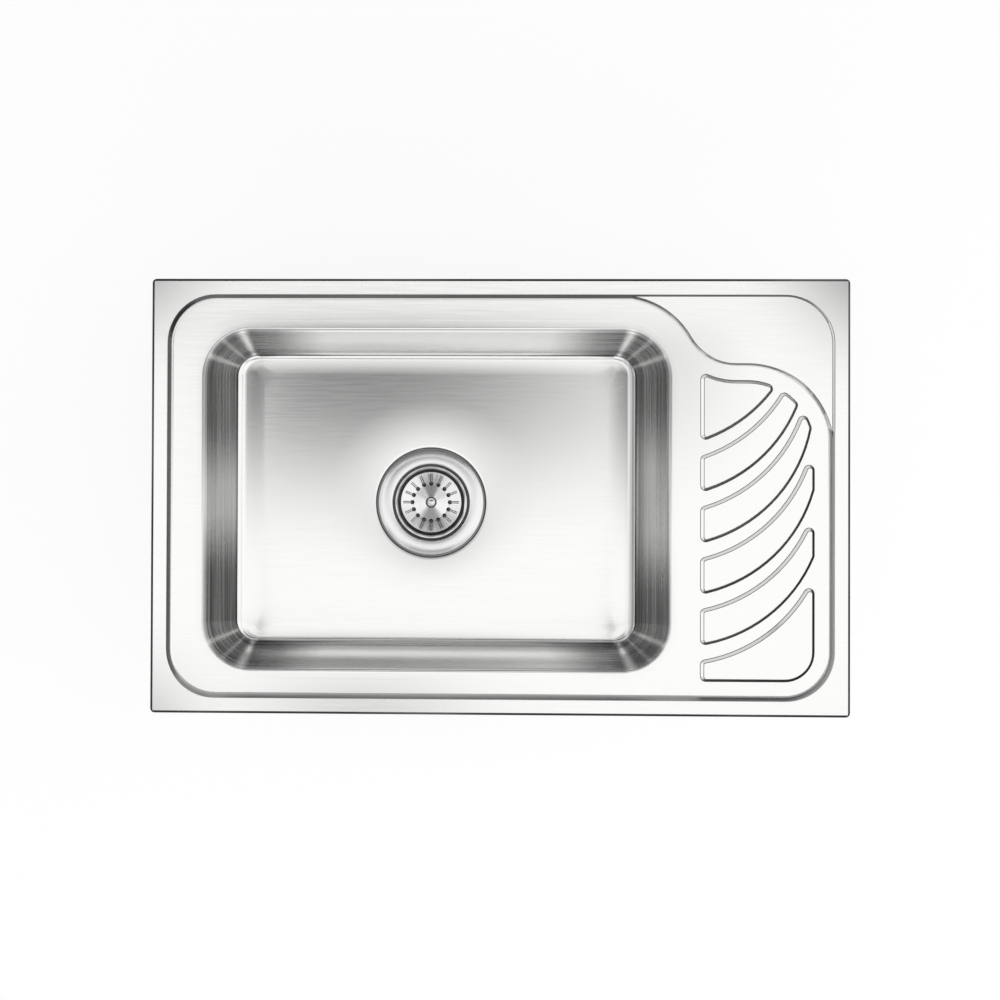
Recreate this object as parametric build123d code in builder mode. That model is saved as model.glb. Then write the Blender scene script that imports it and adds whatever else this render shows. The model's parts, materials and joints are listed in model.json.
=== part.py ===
from build123d import *
import os
from math import asin, atan2, cos, degrees, radians, sin, sqrt, tan

os.makedirs("parts", exist_ok=True)

# A pressed stainless inset sink with one bowl and a drainer on the right, in millimetres.
# X runs to the right, Y to the back and Z up. The origin is the middle of the worktop cut-out,
# on the worktop's surface, which the rim seal rests on.

# Pressed deck
SINK_WIDTH = 800.0
SINK_DEPTH = 500.0
SINK_CORNER = 5.0
SHEET = 1.0
RIM_TOP = 7.5
RIM_EDGE = 3.0
RIM_BAND = 18.0
SKIRT_GAP = 0.5
STEP_DROP = 6.0
STEP_RUN = 4.5
STEP_CORNER = 56.0
LEDGE_DROP = 2.5
PAD_HEIGHT = 3.0
PAD_RUN = 3.4
PAD_CORNER = 6.0
DECK_TOP = RIM_TOP - STEP_DROP
LEDGE_TOP = RIM_TOP - LEDGE_DROP
DECK_UNDER = DECK_TOP - SHEET

# Bowl, set in from the sink's edges at the deck's level, where its drafted walls would meet it
BOWL_LEFT_MARGIN = 63.0
BOWL_FRONT_MARGIN = 53.0
BOWL_BACK_MARGIN = 61.0
DRAINER_WIDTH = 207.0
BOWL_DEPTH = 200.0
BOWL_CORNER = 52.0
BOWL_DRAFT = 2.0
ROLL_RADIUS = 10.0
FLOOR_RADIUS = 20.0
SEAM_FLAT = 4.0
BOWL_WIDTH = SINK_WIDTH - BOWL_LEFT_MARGIN - DRAINER_WIDTH
BOWL_LENGTH = SINK_DEPTH - BOWL_FRONT_MARGIN - BOWL_BACK_MARGIN
BOWL_X = (BOWL_LEFT_MARGIN - DRAINER_WIDTH) / 2
BOWL_Y = (BOWL_FRONT_MARGIN - BOWL_BACK_MARGIN) / 2
FLOOR_TOP = DECK_TOP - BOWL_DEPTH

# Drain, with the floor falling to a pressed seat
DRAIN_LEFT = 6.0
DRAIN_FORWARD = 5.0
FALL_RADIUS = 150.0
FALL = 3.0
SEAT_RADIUS = 71.0
SEAT_DEPTH = 3.0
SEAT_SLOPE = 3.0
DRAIN_HOLE = 55.5
DRAIN_X = BOWL_X - DRAIN_LEFT
DRAIN_Y = BOWL_Y - DRAIN_FORWARD
SEAT_TOP = FLOOR_TOP - FALL - SEAT_DEPTH

# Tap ledge: its edge is an S of two arcs, a short flat and a large corner arc
LEDGE_OUTER_ARC = 92.0
LEDGE_INNER_ARC = 62.0
LEDGE_CORNER_ARC = 95.0
LEDGE_WIDTH = 96.5
LEDGE_FLAT = 13.0
LEDGE_OVERSHOOT = 1.2

# Drainer field, cut into pads by curved channels that fall to the bowl
FIELD_GAP = 38.0
FIELD_MARGIN = 17.0
FIELD_CORNER = 34.0
CHANNELS = 5
CHANNEL_WIDTH = 17.0
CHANNEL_PITCH = 58.4
FIRST_CHANNEL = 203.0
WAVE_RADIUS = 168.0
WAVE_BACK = 52.0
WAVE_SHIFT = 6.5

# Rim seal
SEAL_INSET = 3.0
SEAL_WIDTH = 9.0

# Clip rails, brackets, screws and claws
RAIL_INSET = 26.0
RAIL_SHEET = 1.2
RAIL_BOWL_GAP = 1.0
RAIL_DROP = 20.0
RAIL_END = 40.0
SIDE_RAIL = 220.0
CLIP_INSET = 60.0
SLOT_WIDTH = 18.0
SLOT_LOW = 14.0
SLOT_HIGH = 8.0
BRACKET_SHEET = 1.5
BRACKET_WIDTH = 16.0
BRACKET_TOP = 6.0
BRACKET_BOTTOM = 62.0
LUG_LEVEL = 22.0
LUG_REACH = 15.0
HOOK_RISE = 7.5
SCREW_RADIUS = 2.5
SCREW_OUT = 9.0
SCREW_HEAD_RADIUS = 4.5
SCREW_HEAD = 3.2
SCREW_SLOT = 1.2
SCREW_PROUD = 1.5
SEAT_PLAY = 0.1
THREAD_PLAY = 0.05
CLAW_SHEET = 3.0
CLAW_WIDTH = 14.0
CLAW_REACH = 25.0
CLAW_TOOTH = 9.0
CLAW_LOW = 56.0
CLAW_GUIDE_PLAY = 0.5
CLAW_HOLE_PLAY = 0.2
CLAW_BEND = 2.0
RAIL_FLANGE = BOWL_FRONT_MARGIN - ROLL_RADIUS - SEAM_FLAT - RAIL_BOWL_GAP - RAIL_INSET

# Drainer stiffener and sound-deadening pads
STIFFENER_SHEET = 1.0
STIFFENER_WIDTH = 24.0
STIFFENER_DEPTH = 14.0
STIFFENER_FLANGE = 12.0
STIFFENER_END = 30.0
SOUND_PAD = 3.0
SOUND_PAD_LENGTH = 160.0
SOUND_PAD_HEIGHT = 90.0
SOUND_PAD_LEVEL = 95.0
FLOOR_PAD_WIDTH = 62.0
FLOOR_PAD_LENGTH = 220.0
FLOOR_PAD_EDGE = 10.0

# Waste: flanged body, seals and nut
FLANGE_RADIUS = 69.5
FLANGE = 1.2
GASKET = 1.5
GASKET_EDGE = 1.5
MOUTH_RADIUS = 51.5
MOUTH_BEVEL = 3.0
FLANGE_BEVEL = 0.6
SLEEVE_WALL = 2.5
SLEEVE_DEPTH = 24.0
SHELF_DEPTH = 20.0
CUP_RADIUS = 44.5
CUP_WALL = 2.0
CUP_DEPTH = 50.0
CUP_FALL = 2.0
OUTLET_RADIUS = 23.9
OUTLET_BORE = 20.5
OUTLET_LENGTH = 35.0
SPIDER_DEPTH = 60.0
SPIDER_HEIGHT = 3.0
SPIDER_ARM = 3.0
SPIDER_ARMS = 3
SPIDER_HUB = 8.0
SPIDER_HOLE = 4.2
UNDER_GASKET = 4.0
FRICTION_WASHER = 1.5
NUT_HEIGHT = 14.0
NUT_WALL = 11.0
NUT_LUGS = 8
NUT_LUG_WIDTH = 5.0
NUT_FLANGE = 4.0
NUT_PLAY = 0.05
GASKET_PLAY = 0.3
FLANGE_UNDER = SEAT_TOP + GASKET
SLEEVE_RADIUS = MOUTH_RADIUS + SLEEVE_WALL

# Strainer basket, lifted out by its knob
BASKET_SHEET = 0.8
BASKET_PLAY = 0.4
BASKET_LIP = 3.9
BASKET_BEAD = 1.8
BEAD_BEVEL = 0.7
BASKET_TAPER = 3.0
DISH_DEPTH = 20.5
DISH_FALL = 2.7
DISH_DOME = 1.7
HUB_RADIUS = 24.0
STRAINER_HOLES = 16
STRAINER_HOLE = 2.9
STRAINER_CIRCLE = 25.2
FLUTE_RADIUS = 1.8
FLUTE_START = 28.5
FLUTE_LENGTH = 9.0
STEM_RADIUS = 2.95
STEM_PLAY = 0.05
KNOB_RADIUS = 7.3
KNOB_NECK = 4.0
KNOB_HEIGHT = 14.0
KNOB_CROWN = 2.5
KNOB_FOOT = 3.0
STEM_GRIP = 8.0
STOPPER_RADIUS = 24.0
STOPPER_PLAY = 0.1
STOPPER_LIP = 2.0
WASHER_RADIUS = 9.0
WASHER = 1.0
CATCH_RADIUS = 4.0
CATCH_HEIGHT = 6.0
CATCH_GAP = 1.0


def slope_outset(level):
    """How far the pressed step has widened at a level above the deck."""
    return (level - DECK_TOP) * STEP_RUN / STEP_DROP


def recess_size(level):
    """Width, depth and corner radius of the pressed recess at a level."""
    inset = 2 * (RIM_BAND + STEP_RUN - slope_outset(level))
    return SINK_WIDTH - inset, SINK_DEPTH - inset, STEP_CORNER - STEP_RUN + slope_outset(level)


# The ledge's S, at the deck's level, worked out from the recess it is pressed in
recess_wide, recess_deep, recess_corner = recess_size(DECK_TOP)
RECESS_RIGHT = recess_wide / 2
RECESS_BACK = recess_deep / 2
RECESS_FRONT = -recess_deep / 2
LEDGE_FRONT = SINK_DEPTH / 2 - LEDGE_WIDTH - STEP_RUN / 2
CORNER_ARC_X = RECESS_RIGHT + LEDGE_OVERSHOOT - LEDGE_CORNER_ARC
CORNER_ARC_Y = LEDGE_FRONT - LEDGE_CORNER_ARC
INNER_ARC_X = CORNER_ARC_X - LEDGE_FLAT
INNER_ARC_Y = LEDGE_FRONT + LEDGE_INNER_ARC
OUTER_ARC_Y = RECESS_BACK + LEDGE_OVERSHOOT - LEDGE_OUTER_ARC
arc_rise = INNER_ARC_Y - OUTER_ARC_Y
arc_reach = LEDGE_OUTER_ARC + LEDGE_INNER_ARC
OUTER_ARC_X = INNER_ARC_X - sqrt(arc_reach**2 - arc_rise**2)
FIELD_LEFT = BOWL_X + BOWL_WIDTH / 2 + FIELD_GAP
FIELD_RIGHT = RECESS_RIGHT - FIELD_MARGIN
FIELD_FRONT = RECESS_FRONT + FIELD_MARGIN
FIELD_BACK = LEDGE_FRONT - FIELD_MARGIN


def ledge_face():
    """The tap ledge's plan, carried on past the recess at the back and the right."""
    past = 2 * STEP_CORNER
    swing = degrees(atan2(arc_rise, INNER_ARC_X - OUTER_ARC_X))
    with BuildSketch() as ledge:
        with BuildLine():
            outer = CenterArc((OUTER_ARC_X, OUTER_ARC_Y), LEDGE_OUTER_ARC, 90, swing - 90)
            inner = CenterArc((INNER_ARC_X, INNER_ARC_Y), LEDGE_INNER_ARC, 180 + swing, 90 - swing)
            corner = CenterArc((CORNER_ARC_X, CORNER_ARC_Y), LEDGE_CORNER_ARC, 90, -90)
            Line(inner @ 1, corner @ 0)
            right = (corner @ 1).X + past
            back = (outer @ 0).Y + past
            Polyline(corner @ 1, (right, CORNER_ARC_Y), (right, back), (OUTER_ARC_X, back), outer @ 0)
        make_face()
    return ledge.sketch


def pad_tops():
    """The flat tops of the drainer's raised pads: one field, cut by curved channels and set in."""
    with BuildSketch() as channels:
        for number in reversed(range(CHANNELS)):
            back = WAVE_BACK - WAVE_SHIFT * number
            mouth = SINK_DEPTH / 2 - FIRST_CHANNEL - CHANNEL_PITCH * number
            centre_y = mouth + sqrt(WAVE_RADIUS**2 - back**2)
            with Locations((FIELD_LEFT - back, centre_y)):
                Circle(WAVE_RADIUS)
            with Locations((FIELD_LEFT - back, centre_y + CHANNEL_WIDTH)):
                Circle(WAVE_RADIUS, mode=Mode.SUBTRACT)
    inner_arc = LEDGE_INNER_ARC + FIELD_MARGIN
    corner_arc = LEDGE_CORNER_ARC - FIELD_MARGIN - LEDGE_OVERSHOOT
    swing = degrees(asin((INNER_ARC_X - FIELD_LEFT) / inner_arc))
    corner_y = FIELD_BACK - corner_arc
    front_y = FIELD_FRONT + FIELD_CORNER
    with BuildSketch() as pads:
        with BuildLine():
            edge = CenterArc((INNER_ARC_X, INNER_ARC_Y), inner_arc, 270 - swing, swing)
            Line(edge @ 1, (FIELD_RIGHT - corner_arc, FIELD_BACK))
            CenterArc((FIELD_RIGHT - corner_arc, corner_y), corner_arc, 90, -90)
            Line((FIELD_RIGHT, corner_y), (FIELD_RIGHT, front_y))
            turn = CenterArc((FIELD_RIGHT - FIELD_CORNER, front_y), FIELD_CORNER, 0, -90)
            Polyline(turn @ 1, (FIELD_LEFT, FIELD_FRONT), edge @ 0)
        make_face()
        add(channels.sketch, mode=Mode.SUBTRACT)
        offset(amount=-PAD_CORNER, kind=Kind.INTERSECTION, mode=Mode.REPLACE)
        offset(amount=PAD_CORNER - PAD_RUN, kind=Kind.ARC, mode=Mode.REPLACE)
    return pads.sketch


def pressing(inset, drop):
    """The solid under the deck's pressed surface, lowered by drop, with its outer edge set in."""
    slope = STEP_RUN / STEP_DROP
    step_angle = Vector(1, 0).get_angle(Vector(1, slope))
    pad_angle = Vector(1, 0).get_angle(Vector(1, PAD_RUN / PAD_HEIGHT))
    with BuildPart() as form:
        with BuildSketch(Plane.XY.offset(SKIRT_GAP - drop)):
            RectangleRounded(SINK_WIDTH - 2 * inset, SINK_DEPTH - 2 * inset, SINK_CORNER - inset)
        extrude(amount=RIM_TOP - SKIRT_GAP)
        fillet(form.faces().sort_by(Axis.Z)[-1].edges(), RIM_EDGE - inset)
        with BuildSketch(Plane.XY.offset(DECK_TOP - drop)):
            RectangleRounded(recess_wide, recess_deep, recess_corner)
            add(ledge_face(), mode=Mode.SUBTRACT)
        extrude(amount=STEP_DROP, taper=-step_angle, mode=Mode.SUBTRACT)
        wide, deep, corner = recess_size(LEDGE_TOP)
        with BuildSketch(Plane.XY.offset(LEDGE_TOP - drop)):
            RectangleRounded(wide, deep, corner)
            with Locations((OUTER_ARC_X, CORNER_ARC_Y)):
                Rectangle(wide, deep, align=(Align.MIN, Align.MIN), mode=Mode.INTERSECT)
        extrude(amount=LEDGE_DROP, taper=-step_angle, mode=Mode.SUBTRACT)
        with BuildSketch(Plane.XY.offset(DECK_TOP + PAD_HEIGHT - drop)):
            add(pad_tops())
        extrude(amount=PAD_HEIGHT, dir=(0, 0, -1), taper=-pad_angle)
    return form.part


def bowl_outline(outset):
    """Width, length and corner radius of the bowl's plan, outset from its walls."""
    return BOWL_WIDTH + 2 * outset, BOWL_LENGTH + 2 * outset, BOWL_CORNER + outset


def bowl_form(grow):
    """The bowl's hollow as a solid, grown by a thickness: mouth roll, drafted walls, floor and seat."""
    with BuildPart() as form:
        with BuildSketch(Plane.XY.offset(DECK_TOP)):
            with Locations((BOWL_X, BOWL_Y)):
                RectangleRounded(*bowl_outline(grow))
        extrude(amount=-(BOWL_DEPTH + grow), taper=BOWL_DRAFT)
        fillet(form.faces().sort_by(Axis.Z)[0].edges(), FLOOR_RADIUS + grow)
        with BuildSketch(Plane.XY.offset(DECK_TOP - grow)):
            with Locations((BOWL_X, BOWL_Y)):
                RectangleRounded(*bowl_outline(ROLL_RADIUS + SEAM_FLAT))
        extrude(amount=SHEET + ROLL_RADIUS)
        flange = form.faces().filter_by(lambda face: len(face.inner_wires()) > 0)[0]
        fillet(flange.inner_wires()[0].edges(), ROLL_RADIUS - grow)
        with Locations((DRAIN_X, DRAIN_Y, FLOOR_TOP - grow)):
            Cone(
                SEAT_RADIUS + SEAT_SLOPE, FALL_RADIUS, FALL,
                align=(Align.CENTER, Align.CENTER, Align.MAX),
            )
        with Locations((DRAIN_X, DRAIN_Y, FLOOR_TOP - FALL - grow)):
            Cone(
                SEAT_RADIUS, SEAT_RADIUS + SEAT_SLOPE, SEAT_DEPTH,
                align=(Align.CENTER, Align.CENTER, Align.MAX),
            )
    return form.part


with BuildPart() as deck:
    add(pressing(0, 0))
    add(pressing(SHEET, SHEET), mode=Mode.SUBTRACT)
    with BuildSketch(Plane.XY.offset(RIM_TOP)):
        with Locations((BOWL_X, BOWL_Y)):
            RectangleRounded(*bowl_outline(ROLL_RADIUS + SEAM_FLAT))
    extrude(amount=-2 * RIM_TOP, mode=Mode.SUBTRACT)
deck.part.label = "deck"
export_step(deck.part, "parts/deck.step")

with BuildPart() as bowl:
    add(bowl_form(SHEET))
    add(bowl_form(0), mode=Mode.SUBTRACT)
    with BuildSketch(Plane.XY.offset(SEAT_TOP + SHEET)):
        with Locations((DRAIN_X, DRAIN_Y)):
            Circle(DRAIN_HOLE)
    extrude(amount=-3 * SHEET, mode=Mode.SUBTRACT)
bowl.part.label = "bowl"
export_step(bowl.part, "parts/bowl.step")

with BuildPart() as rim_seal:
    with BuildSketch():
        RectangleRounded(SINK_WIDTH - 2 * SEAL_INSET, SINK_DEPTH - 2 * SEAL_INSET, SINK_CORNER)
        seal_inner = 2 * (SEAL_INSET + SEAL_WIDTH)
        RectangleRounded(SINK_WIDTH - seal_inner, SINK_DEPTH - seal_inner, SINK_CORNER, mode=Mode.SUBTRACT)
    extrude(amount=RIM_TOP - SHEET)
rim_seal.part.label = "rim_seal"
export_step(rim_seal.part, "parts/rim_seal.step")

# Clips: where each stands on its rail's outer face, and which way its claw reaches
RAIL_X = SINK_WIDTH / 2 - RAIL_INSET
RAIL_Y = SINK_DEPTH / 2 - RAIL_INSET
FRONT = Vector(0, -1, 0)
BACK = Vector(0, 1, 0)
LEFT = Vector(-1, 0, 0)
RIGHT = Vector(1, 0, 0)
LEFT_END = -RAIL_X + RAIL_END
RIGHT_END = RAIL_X - RAIL_END
BACK_END = OUTER_ARC_X - CLIP_INSET / 2
RIGHT_RAIL_Y = CORNER_ARC_Y - SIDE_RAIL / 2 - RAIL_FLANGE
CLIPS = {
    "front_left": (Vector(LEFT_END + CLIP_INSET, -RAIL_Y), FRONT),
    "front_right": (Vector(RIGHT_END - CLIP_INSET, -RAIL_Y), FRONT),
    "back_left": (Vector(LEFT_END + CLIP_INSET, RAIL_Y), BACK),
    "back_right": (Vector(BACK_END - CLIP_INSET, RAIL_Y), BACK),
    "left": (Vector(-RAIL_X, BOWL_Y), LEFT),
    "right": (Vector(RAIL_X, RIGHT_RAIL_Y), RIGHT),
}
RAILS = {
    "front": (Vector((LEFT_END + RIGHT_END) / 2, -RAIL_Y), FRONT, RIGHT_END - LEFT_END),
    "back": (Vector((LEFT_END + BACK_END) / 2, RAIL_Y), BACK, BACK_END - LEFT_END),
    "left": (Vector(-RAIL_X, BOWL_Y), LEFT, SIDE_RAIL),
    "right": (Vector(RAIL_X, RIGHT_RAIL_Y), RIGHT, SIDE_RAIL),
}


def section_plane(spot, outward):
    """A plane across a rail: its X points out of the sink, its Y up and its normal along the rail."""
    return Plane(spot, x_dir=outward, z_dir=outward.cross(Vector(0, 0, 1)))


def on_rail(clip, rail):
    """Whether a clip hangs on a rail: they face the same way."""
    return CLIPS[clip][1] == RAILS[rail][1]


for side, (middle, outward, length) in RAILS.items():
    with BuildPart() as rail:
        with BuildSketch(section_plane(middle, outward)):
            with BuildLine():
                Polyline(
                    (0, DECK_UNDER),
                    (0, -RAIL_DROP),
                    (-RAIL_SHEET, -RAIL_DROP),
                    (-RAIL_SHEET, DECK_UNDER - RAIL_SHEET),
                    (-RAIL_FLANGE, DECK_UNDER - RAIL_SHEET),
                    (-RAIL_FLANGE, DECK_UNDER),
                    close=True,
                )
            make_face()
        extrude(amount=length / 2, both=True)
        for clip in CLIPS:
            if on_rail(clip, side):
                with BuildSketch(section_plane(CLIPS[clip][0], outward)):
                    with Locations((0, -(SLOT_LOW + SLOT_HIGH) / 2)):
                        Rectangle(4 * RAIL_SHEET, SLOT_LOW - SLOT_HIGH)
                extrude(amount=SLOT_WIDTH / 2, both=True, mode=Mode.SUBTRACT)
    rail.part.label = f"{side}_clip_rail"
    export_step(rail.part, f"parts/{side}_clip_rail.step")

# Brackets: a hook through the rail's slot, a web that guides the claw and a tapped lug for the screw
with BuildPart() as clip_brackets:
    for spot, outward in CLIPS.values():
        with BuildSketch(section_plane(spot, outward)):
            with BuildLine():
                hook_top = -(SLOT_LOW - BRACKET_SHEET)
                hook_back = -(RAIL_SHEET + BRACKET_SHEET)
                Polyline(
                    (hook_back, hook_top + HOOK_RISE),
                    (-RAIL_SHEET, hook_top + HOOK_RISE),
                    (-RAIL_SHEET, hook_top),
                    (0, hook_top),
                    (0, -BRACKET_TOP),
                    (BRACKET_SHEET, -BRACKET_TOP),
                    (BRACKET_SHEET, -LUG_LEVEL),
                    (LUG_REACH, -LUG_LEVEL),
                    (LUG_REACH, -LUG_LEVEL - BRACKET_SHEET),
                    (BRACKET_SHEET, -LUG_LEVEL - BRACKET_SHEET),
                    (BRACKET_SHEET, -BRACKET_BOTTOM),
                    (0, -BRACKET_BOTTOM),
                    (0, -SLOT_LOW),
                    (hook_back, -SLOT_LOW),
                    close=True,
                )
            make_face()
        extrude(amount=BRACKET_WIDTH / 2, both=True)
        with BuildSketch():
            with Locations(spot + outward * SCREW_OUT):
                Circle(SCREW_RADIUS + THREAD_PLAY)
        extrude(amount=-BRACKET_BOTTOM, mode=Mode.SUBTRACT)
clip_brackets.part.label = "clip_brackets"
export_step(clip_brackets.part, "parts/clip_brackets.step")

for name, (spot, outward) in CLIPS.items():
    axis_spot = spot + outward * SCREW_OUT
    with BuildPart() as screw:
        with BuildSketch(Plane.XY.offset(-CLAW_LOW - SEAT_PLAY)):
            with Locations(axis_spot):
                Circle(SCREW_HEAD_RADIUS)
        extrude(amount=-SCREW_HEAD)
        with BuildSketch(Plane.XY.offset(-CLAW_LOW - SEAT_PLAY)):
            with Locations(axis_spot):
                Circle(SCREW_RADIUS)
        extrude(amount=CLAW_LOW + SEAT_PLAY - LUG_LEVEL + SCREW_PROUD)
        with BuildSketch(Plane.XY.offset(-CLAW_LOW - SEAT_PLAY - SCREW_HEAD)):
            with Locations(axis_spot):
                Rectangle(2 * SCREW_HEAD_RADIUS, SCREW_SLOT)
        extrude(amount=SCREW_HEAD / 2, mode=Mode.SUBTRACT)
    screw.part.label = f"{name}_screw"
    export_step(screw.part, f"parts/{name}_screw.step")

    with BuildPart() as claw:
        with BuildSketch(section_plane(spot, outward)) as claw_profile:
            with BuildLine():
                claw_top = -CLAW_LOW + CLAW_SHEET
                claw_back = BRACKET_SHEET + CLAW_GUIDE_PLAY
                Polyline(
                    (claw_back, -CLAW_LOW),
                    (CLAW_REACH, -CLAW_LOW),
                    (CLAW_REACH, claw_top + CLAW_TOOTH),
                    (CLAW_REACH - CLAW_SHEET, claw_top + CLAW_TOOTH),
                    (CLAW_REACH - CLAW_SHEET, claw_top),
                    (claw_back, claw_top),
                    close=True,
                )
            make_face()
            bend_inside = (CLAW_REACH - CLAW_SHEET, claw_top, 0)
            fillet(claw_profile.vertices().sort_by_distance(bend_inside)[0], CLAW_BEND)
            bend_outside = (CLAW_REACH, -CLAW_LOW, 0)
            fillet(claw_profile.vertices().sort_by_distance(bend_outside)[0], CLAW_BEND + CLAW_SHEET)
        extrude(amount=CLAW_WIDTH / 2, both=True)
        with BuildSketch(Plane.XY.offset(-CLAW_LOW)):
            with Locations(axis_spot):
                Circle(SCREW_RADIUS + CLAW_HOLE_PLAY)
        extrude(amount=CLAW_SHEET, mode=Mode.SUBTRACT)
    claw.part.label = f"{name}_claw"
    export_step(claw.part, f"parts/{name}_claw.step")

# A hat-section channel that stiffens the drainer from below
STIFFENER_X = (FIELD_LEFT + FIELD_RIGHT) / 2
STIFFENER_Y = (FIELD_FRONT + FIELD_BACK) / 2
with BuildPart() as drainer_stiffener:
    with BuildSketch(Plane((STIFFENER_X, STIFFENER_Y, DECK_UNDER), x_dir=(1, 0, 0), z_dir=(0, -1, 0))):
        with BuildLine():
            half = STIFFENER_WIDTH / 2
            Polyline(
                (-half - STIFFENER_FLANGE, 0),
                (-half + STIFFENER_SHEET, 0),
                (-half + STIFFENER_SHEET, -STIFFENER_DEPTH + STIFFENER_SHEET),
                (half - STIFFENER_SHEET, -STIFFENER_DEPTH + STIFFENER_SHEET),
                (half - STIFFENER_SHEET, 0),
                (half + STIFFENER_FLANGE, 0),
                (half + STIFFENER_FLANGE, -STIFFENER_SHEET),
                (half, -STIFFENER_SHEET),
                (half, -STIFFENER_DEPTH),
                (-half, -STIFFENER_DEPTH),
                (-half, -STIFFENER_SHEET),
                (-half - STIFFENER_FLANGE, -STIFFENER_SHEET),
                close=True,
            )
        make_face()
    extrude(amount=(FIELD_BACK - FIELD_FRONT) / 2 - STIFFENER_END, both=True)
drainer_stiffener.part.label = "drainer_stiffener"
export_step(drainer_stiffener.part, "parts/drainer_stiffener.step")


def wall_plane(outward, half_span):
    """The plane of a drafted bowl wall's outside, at the height of its sound pad."""
    reach = half_span + SHEET - SOUND_PAD_LEVEL * tan(radians(BOWL_DRAFT))
    middle = Vector(BOWL_X, BOWL_Y, DECK_TOP - SOUND_PAD_LEVEL) + outward * reach
    facing = outward * cos(radians(BOWL_DRAFT)) - Vector(0, 0, sin(radians(BOWL_DRAFT)))
    return Plane(middle, x_dir=outward.cross(Vector(0, 0, 1)), z_dir=facing)


with BuildPart() as wall_sound_pads:
    for outward, half_span in (
        (FRONT, BOWL_LENGTH / 2),
        (BACK, BOWL_LENGTH / 2),
        (LEFT, BOWL_WIDTH / 2),
        (RIGHT, BOWL_WIDTH / 2),
    ):
        with BuildSketch(wall_plane(outward, half_span)):
            Rectangle(SOUND_PAD_LENGTH, SOUND_PAD_HEIGHT)
        extrude(amount=SOUND_PAD)
wall_sound_pads.part.label = "wall_sound_pads"
export_step(wall_sound_pads.part, "parts/wall_sound_pads.step")

with BuildPart() as floor_sound_pads:
    pad_reach = FALL_RADIUS + FLOOR_PAD_EDGE + FLOOR_PAD_WIDTH / 2
    with BuildSketch(Plane.XY.offset(FLOOR_TOP - SHEET)):
        with Locations((DRAIN_X - pad_reach, DRAIN_Y), (DRAIN_X + pad_reach, DRAIN_Y)):
            Rectangle(FLOOR_PAD_WIDTH, FLOOR_PAD_LENGTH)
    extrude(amount=-SOUND_PAD)
floor_sound_pads.part.label = "floor_sound_pads"
export_step(floor_sound_pads.part, "parts/floor_sound_pads.step")

# Everything round the drain is turned about its axis, from sections drawn above the flange's underside
DRAIN_SECTION = Plane((DRAIN_X, DRAIN_Y, FLANGE_UNDER), x_dir=(1, 0, 0), z_dir=(0, -1, 0))
DRAIN_AXIS = Axis((DRAIN_X, DRAIN_Y, 0), (0, 0, 1))

with BuildPart() as waste_body:
    with BuildSketch(DRAIN_SECTION) as body_section:
        with BuildLine():
            Polyline(
                (SLEEVE_RADIUS, 0),
                (FLANGE_RADIUS, 0),
                (FLANGE_RADIUS, FLANGE),
                (MOUTH_RADIUS, FLANGE),
                (MOUTH_RADIUS, -SHELF_DEPTH),
                (CUP_RADIUS, -SHELF_DEPTH),
                (CUP_RADIUS, -CUP_DEPTH + CUP_FALL),
                (STOPPER_RADIUS, -CUP_DEPTH),
                (OUTLET_BORE, -CUP_DEPTH),
                (OUTLET_BORE, -CUP_DEPTH - CUP_WALL - OUTLET_LENGTH),
                (OUTLET_RADIUS, -CUP_DEPTH - CUP_WALL - OUTLET_LENGTH),
                (OUTLET_RADIUS, -CUP_DEPTH - CUP_WALL),
                (CUP_RADIUS + CUP_WALL, -CUP_DEPTH),
                (CUP_RADIUS + CUP_WALL, -SLEEVE_DEPTH),
                (SLEEVE_RADIUS, -SLEEVE_DEPTH),
                close=True,
            )
        make_face()
        chamfer(body_section.vertices().sort_by_distance((MOUTH_RADIUS, FLANGE, 0))[0], MOUTH_BEVEL)
        chamfer(body_section.vertices().sort_by_distance((FLANGE_RADIUS, FLANGE, 0))[0], FLANGE_BEVEL)
    revolve(axis=DRAIN_AXIS)
    with BuildSketch(Plane.XY.offset(FLANGE_UNDER - SPIDER_DEPTH)):
        with Locations((DRAIN_X, DRAIN_Y)):
            Circle(SPIDER_HUB)
            with PolarLocations(OUTLET_BORE / 2, SPIDER_ARMS):
                Rectangle(OUTLET_BORE + SLEEVE_WALL, SPIDER_ARM)
            Circle(SPIDER_HOLE, mode=Mode.SUBTRACT)
    extrude(amount=-SPIDER_HEIGHT)
waste_body.part.label = "waste_body"
export_step(waste_body.part, "parts/waste_body.step")


def ring(top, thickness, inner, outer):
    """A flat ring about the drain's axis, from its top down."""
    with BuildPart() as flat_ring:
        with BuildSketch(Plane.XY.offset(top)):
            with Locations((DRAIN_X, DRAIN_Y)):
                Circle(outer)
                Circle(inner, mode=Mode.SUBTRACT)
        extrude(amount=-thickness)
    return flat_ring.part


UNDER_GASKET_TOP = SEAT_TOP - SHEET
WASHER_TOP = UNDER_GASKET_TOP - UNDER_GASKET
NUT_TOP = WASHER_TOP - FRICTION_WASHER
NUT_RADIUS = SLEEVE_RADIUS + NUT_WALL

with BuildPart() as flange_gasket:
    add(ring(FLANGE_UNDER, GASKET, DRAIN_HOLE, FLANGE_RADIUS - GASKET_EDGE))
flange_gasket.part.label = "flange_gasket"
export_step(flange_gasket.part, "parts/flange_gasket.step")

with BuildPart() as under_gasket:
    add(ring(UNDER_GASKET_TOP, UNDER_GASKET, SLEEVE_RADIUS + GASKET_PLAY, NUT_RADIUS + GASKET_EDGE))
under_gasket.part.label = "under_gasket"
export_step(under_gasket.part, "parts/under_gasket.step")

with BuildPart() as friction_washer:
    add(ring(WASHER_TOP, FRICTION_WASHER, SLEEVE_RADIUS + GASKET_PLAY, NUT_RADIUS))
friction_washer.part.label = "friction_washer"
export_step(friction_washer.part, "parts/friction_washer.step")

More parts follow.
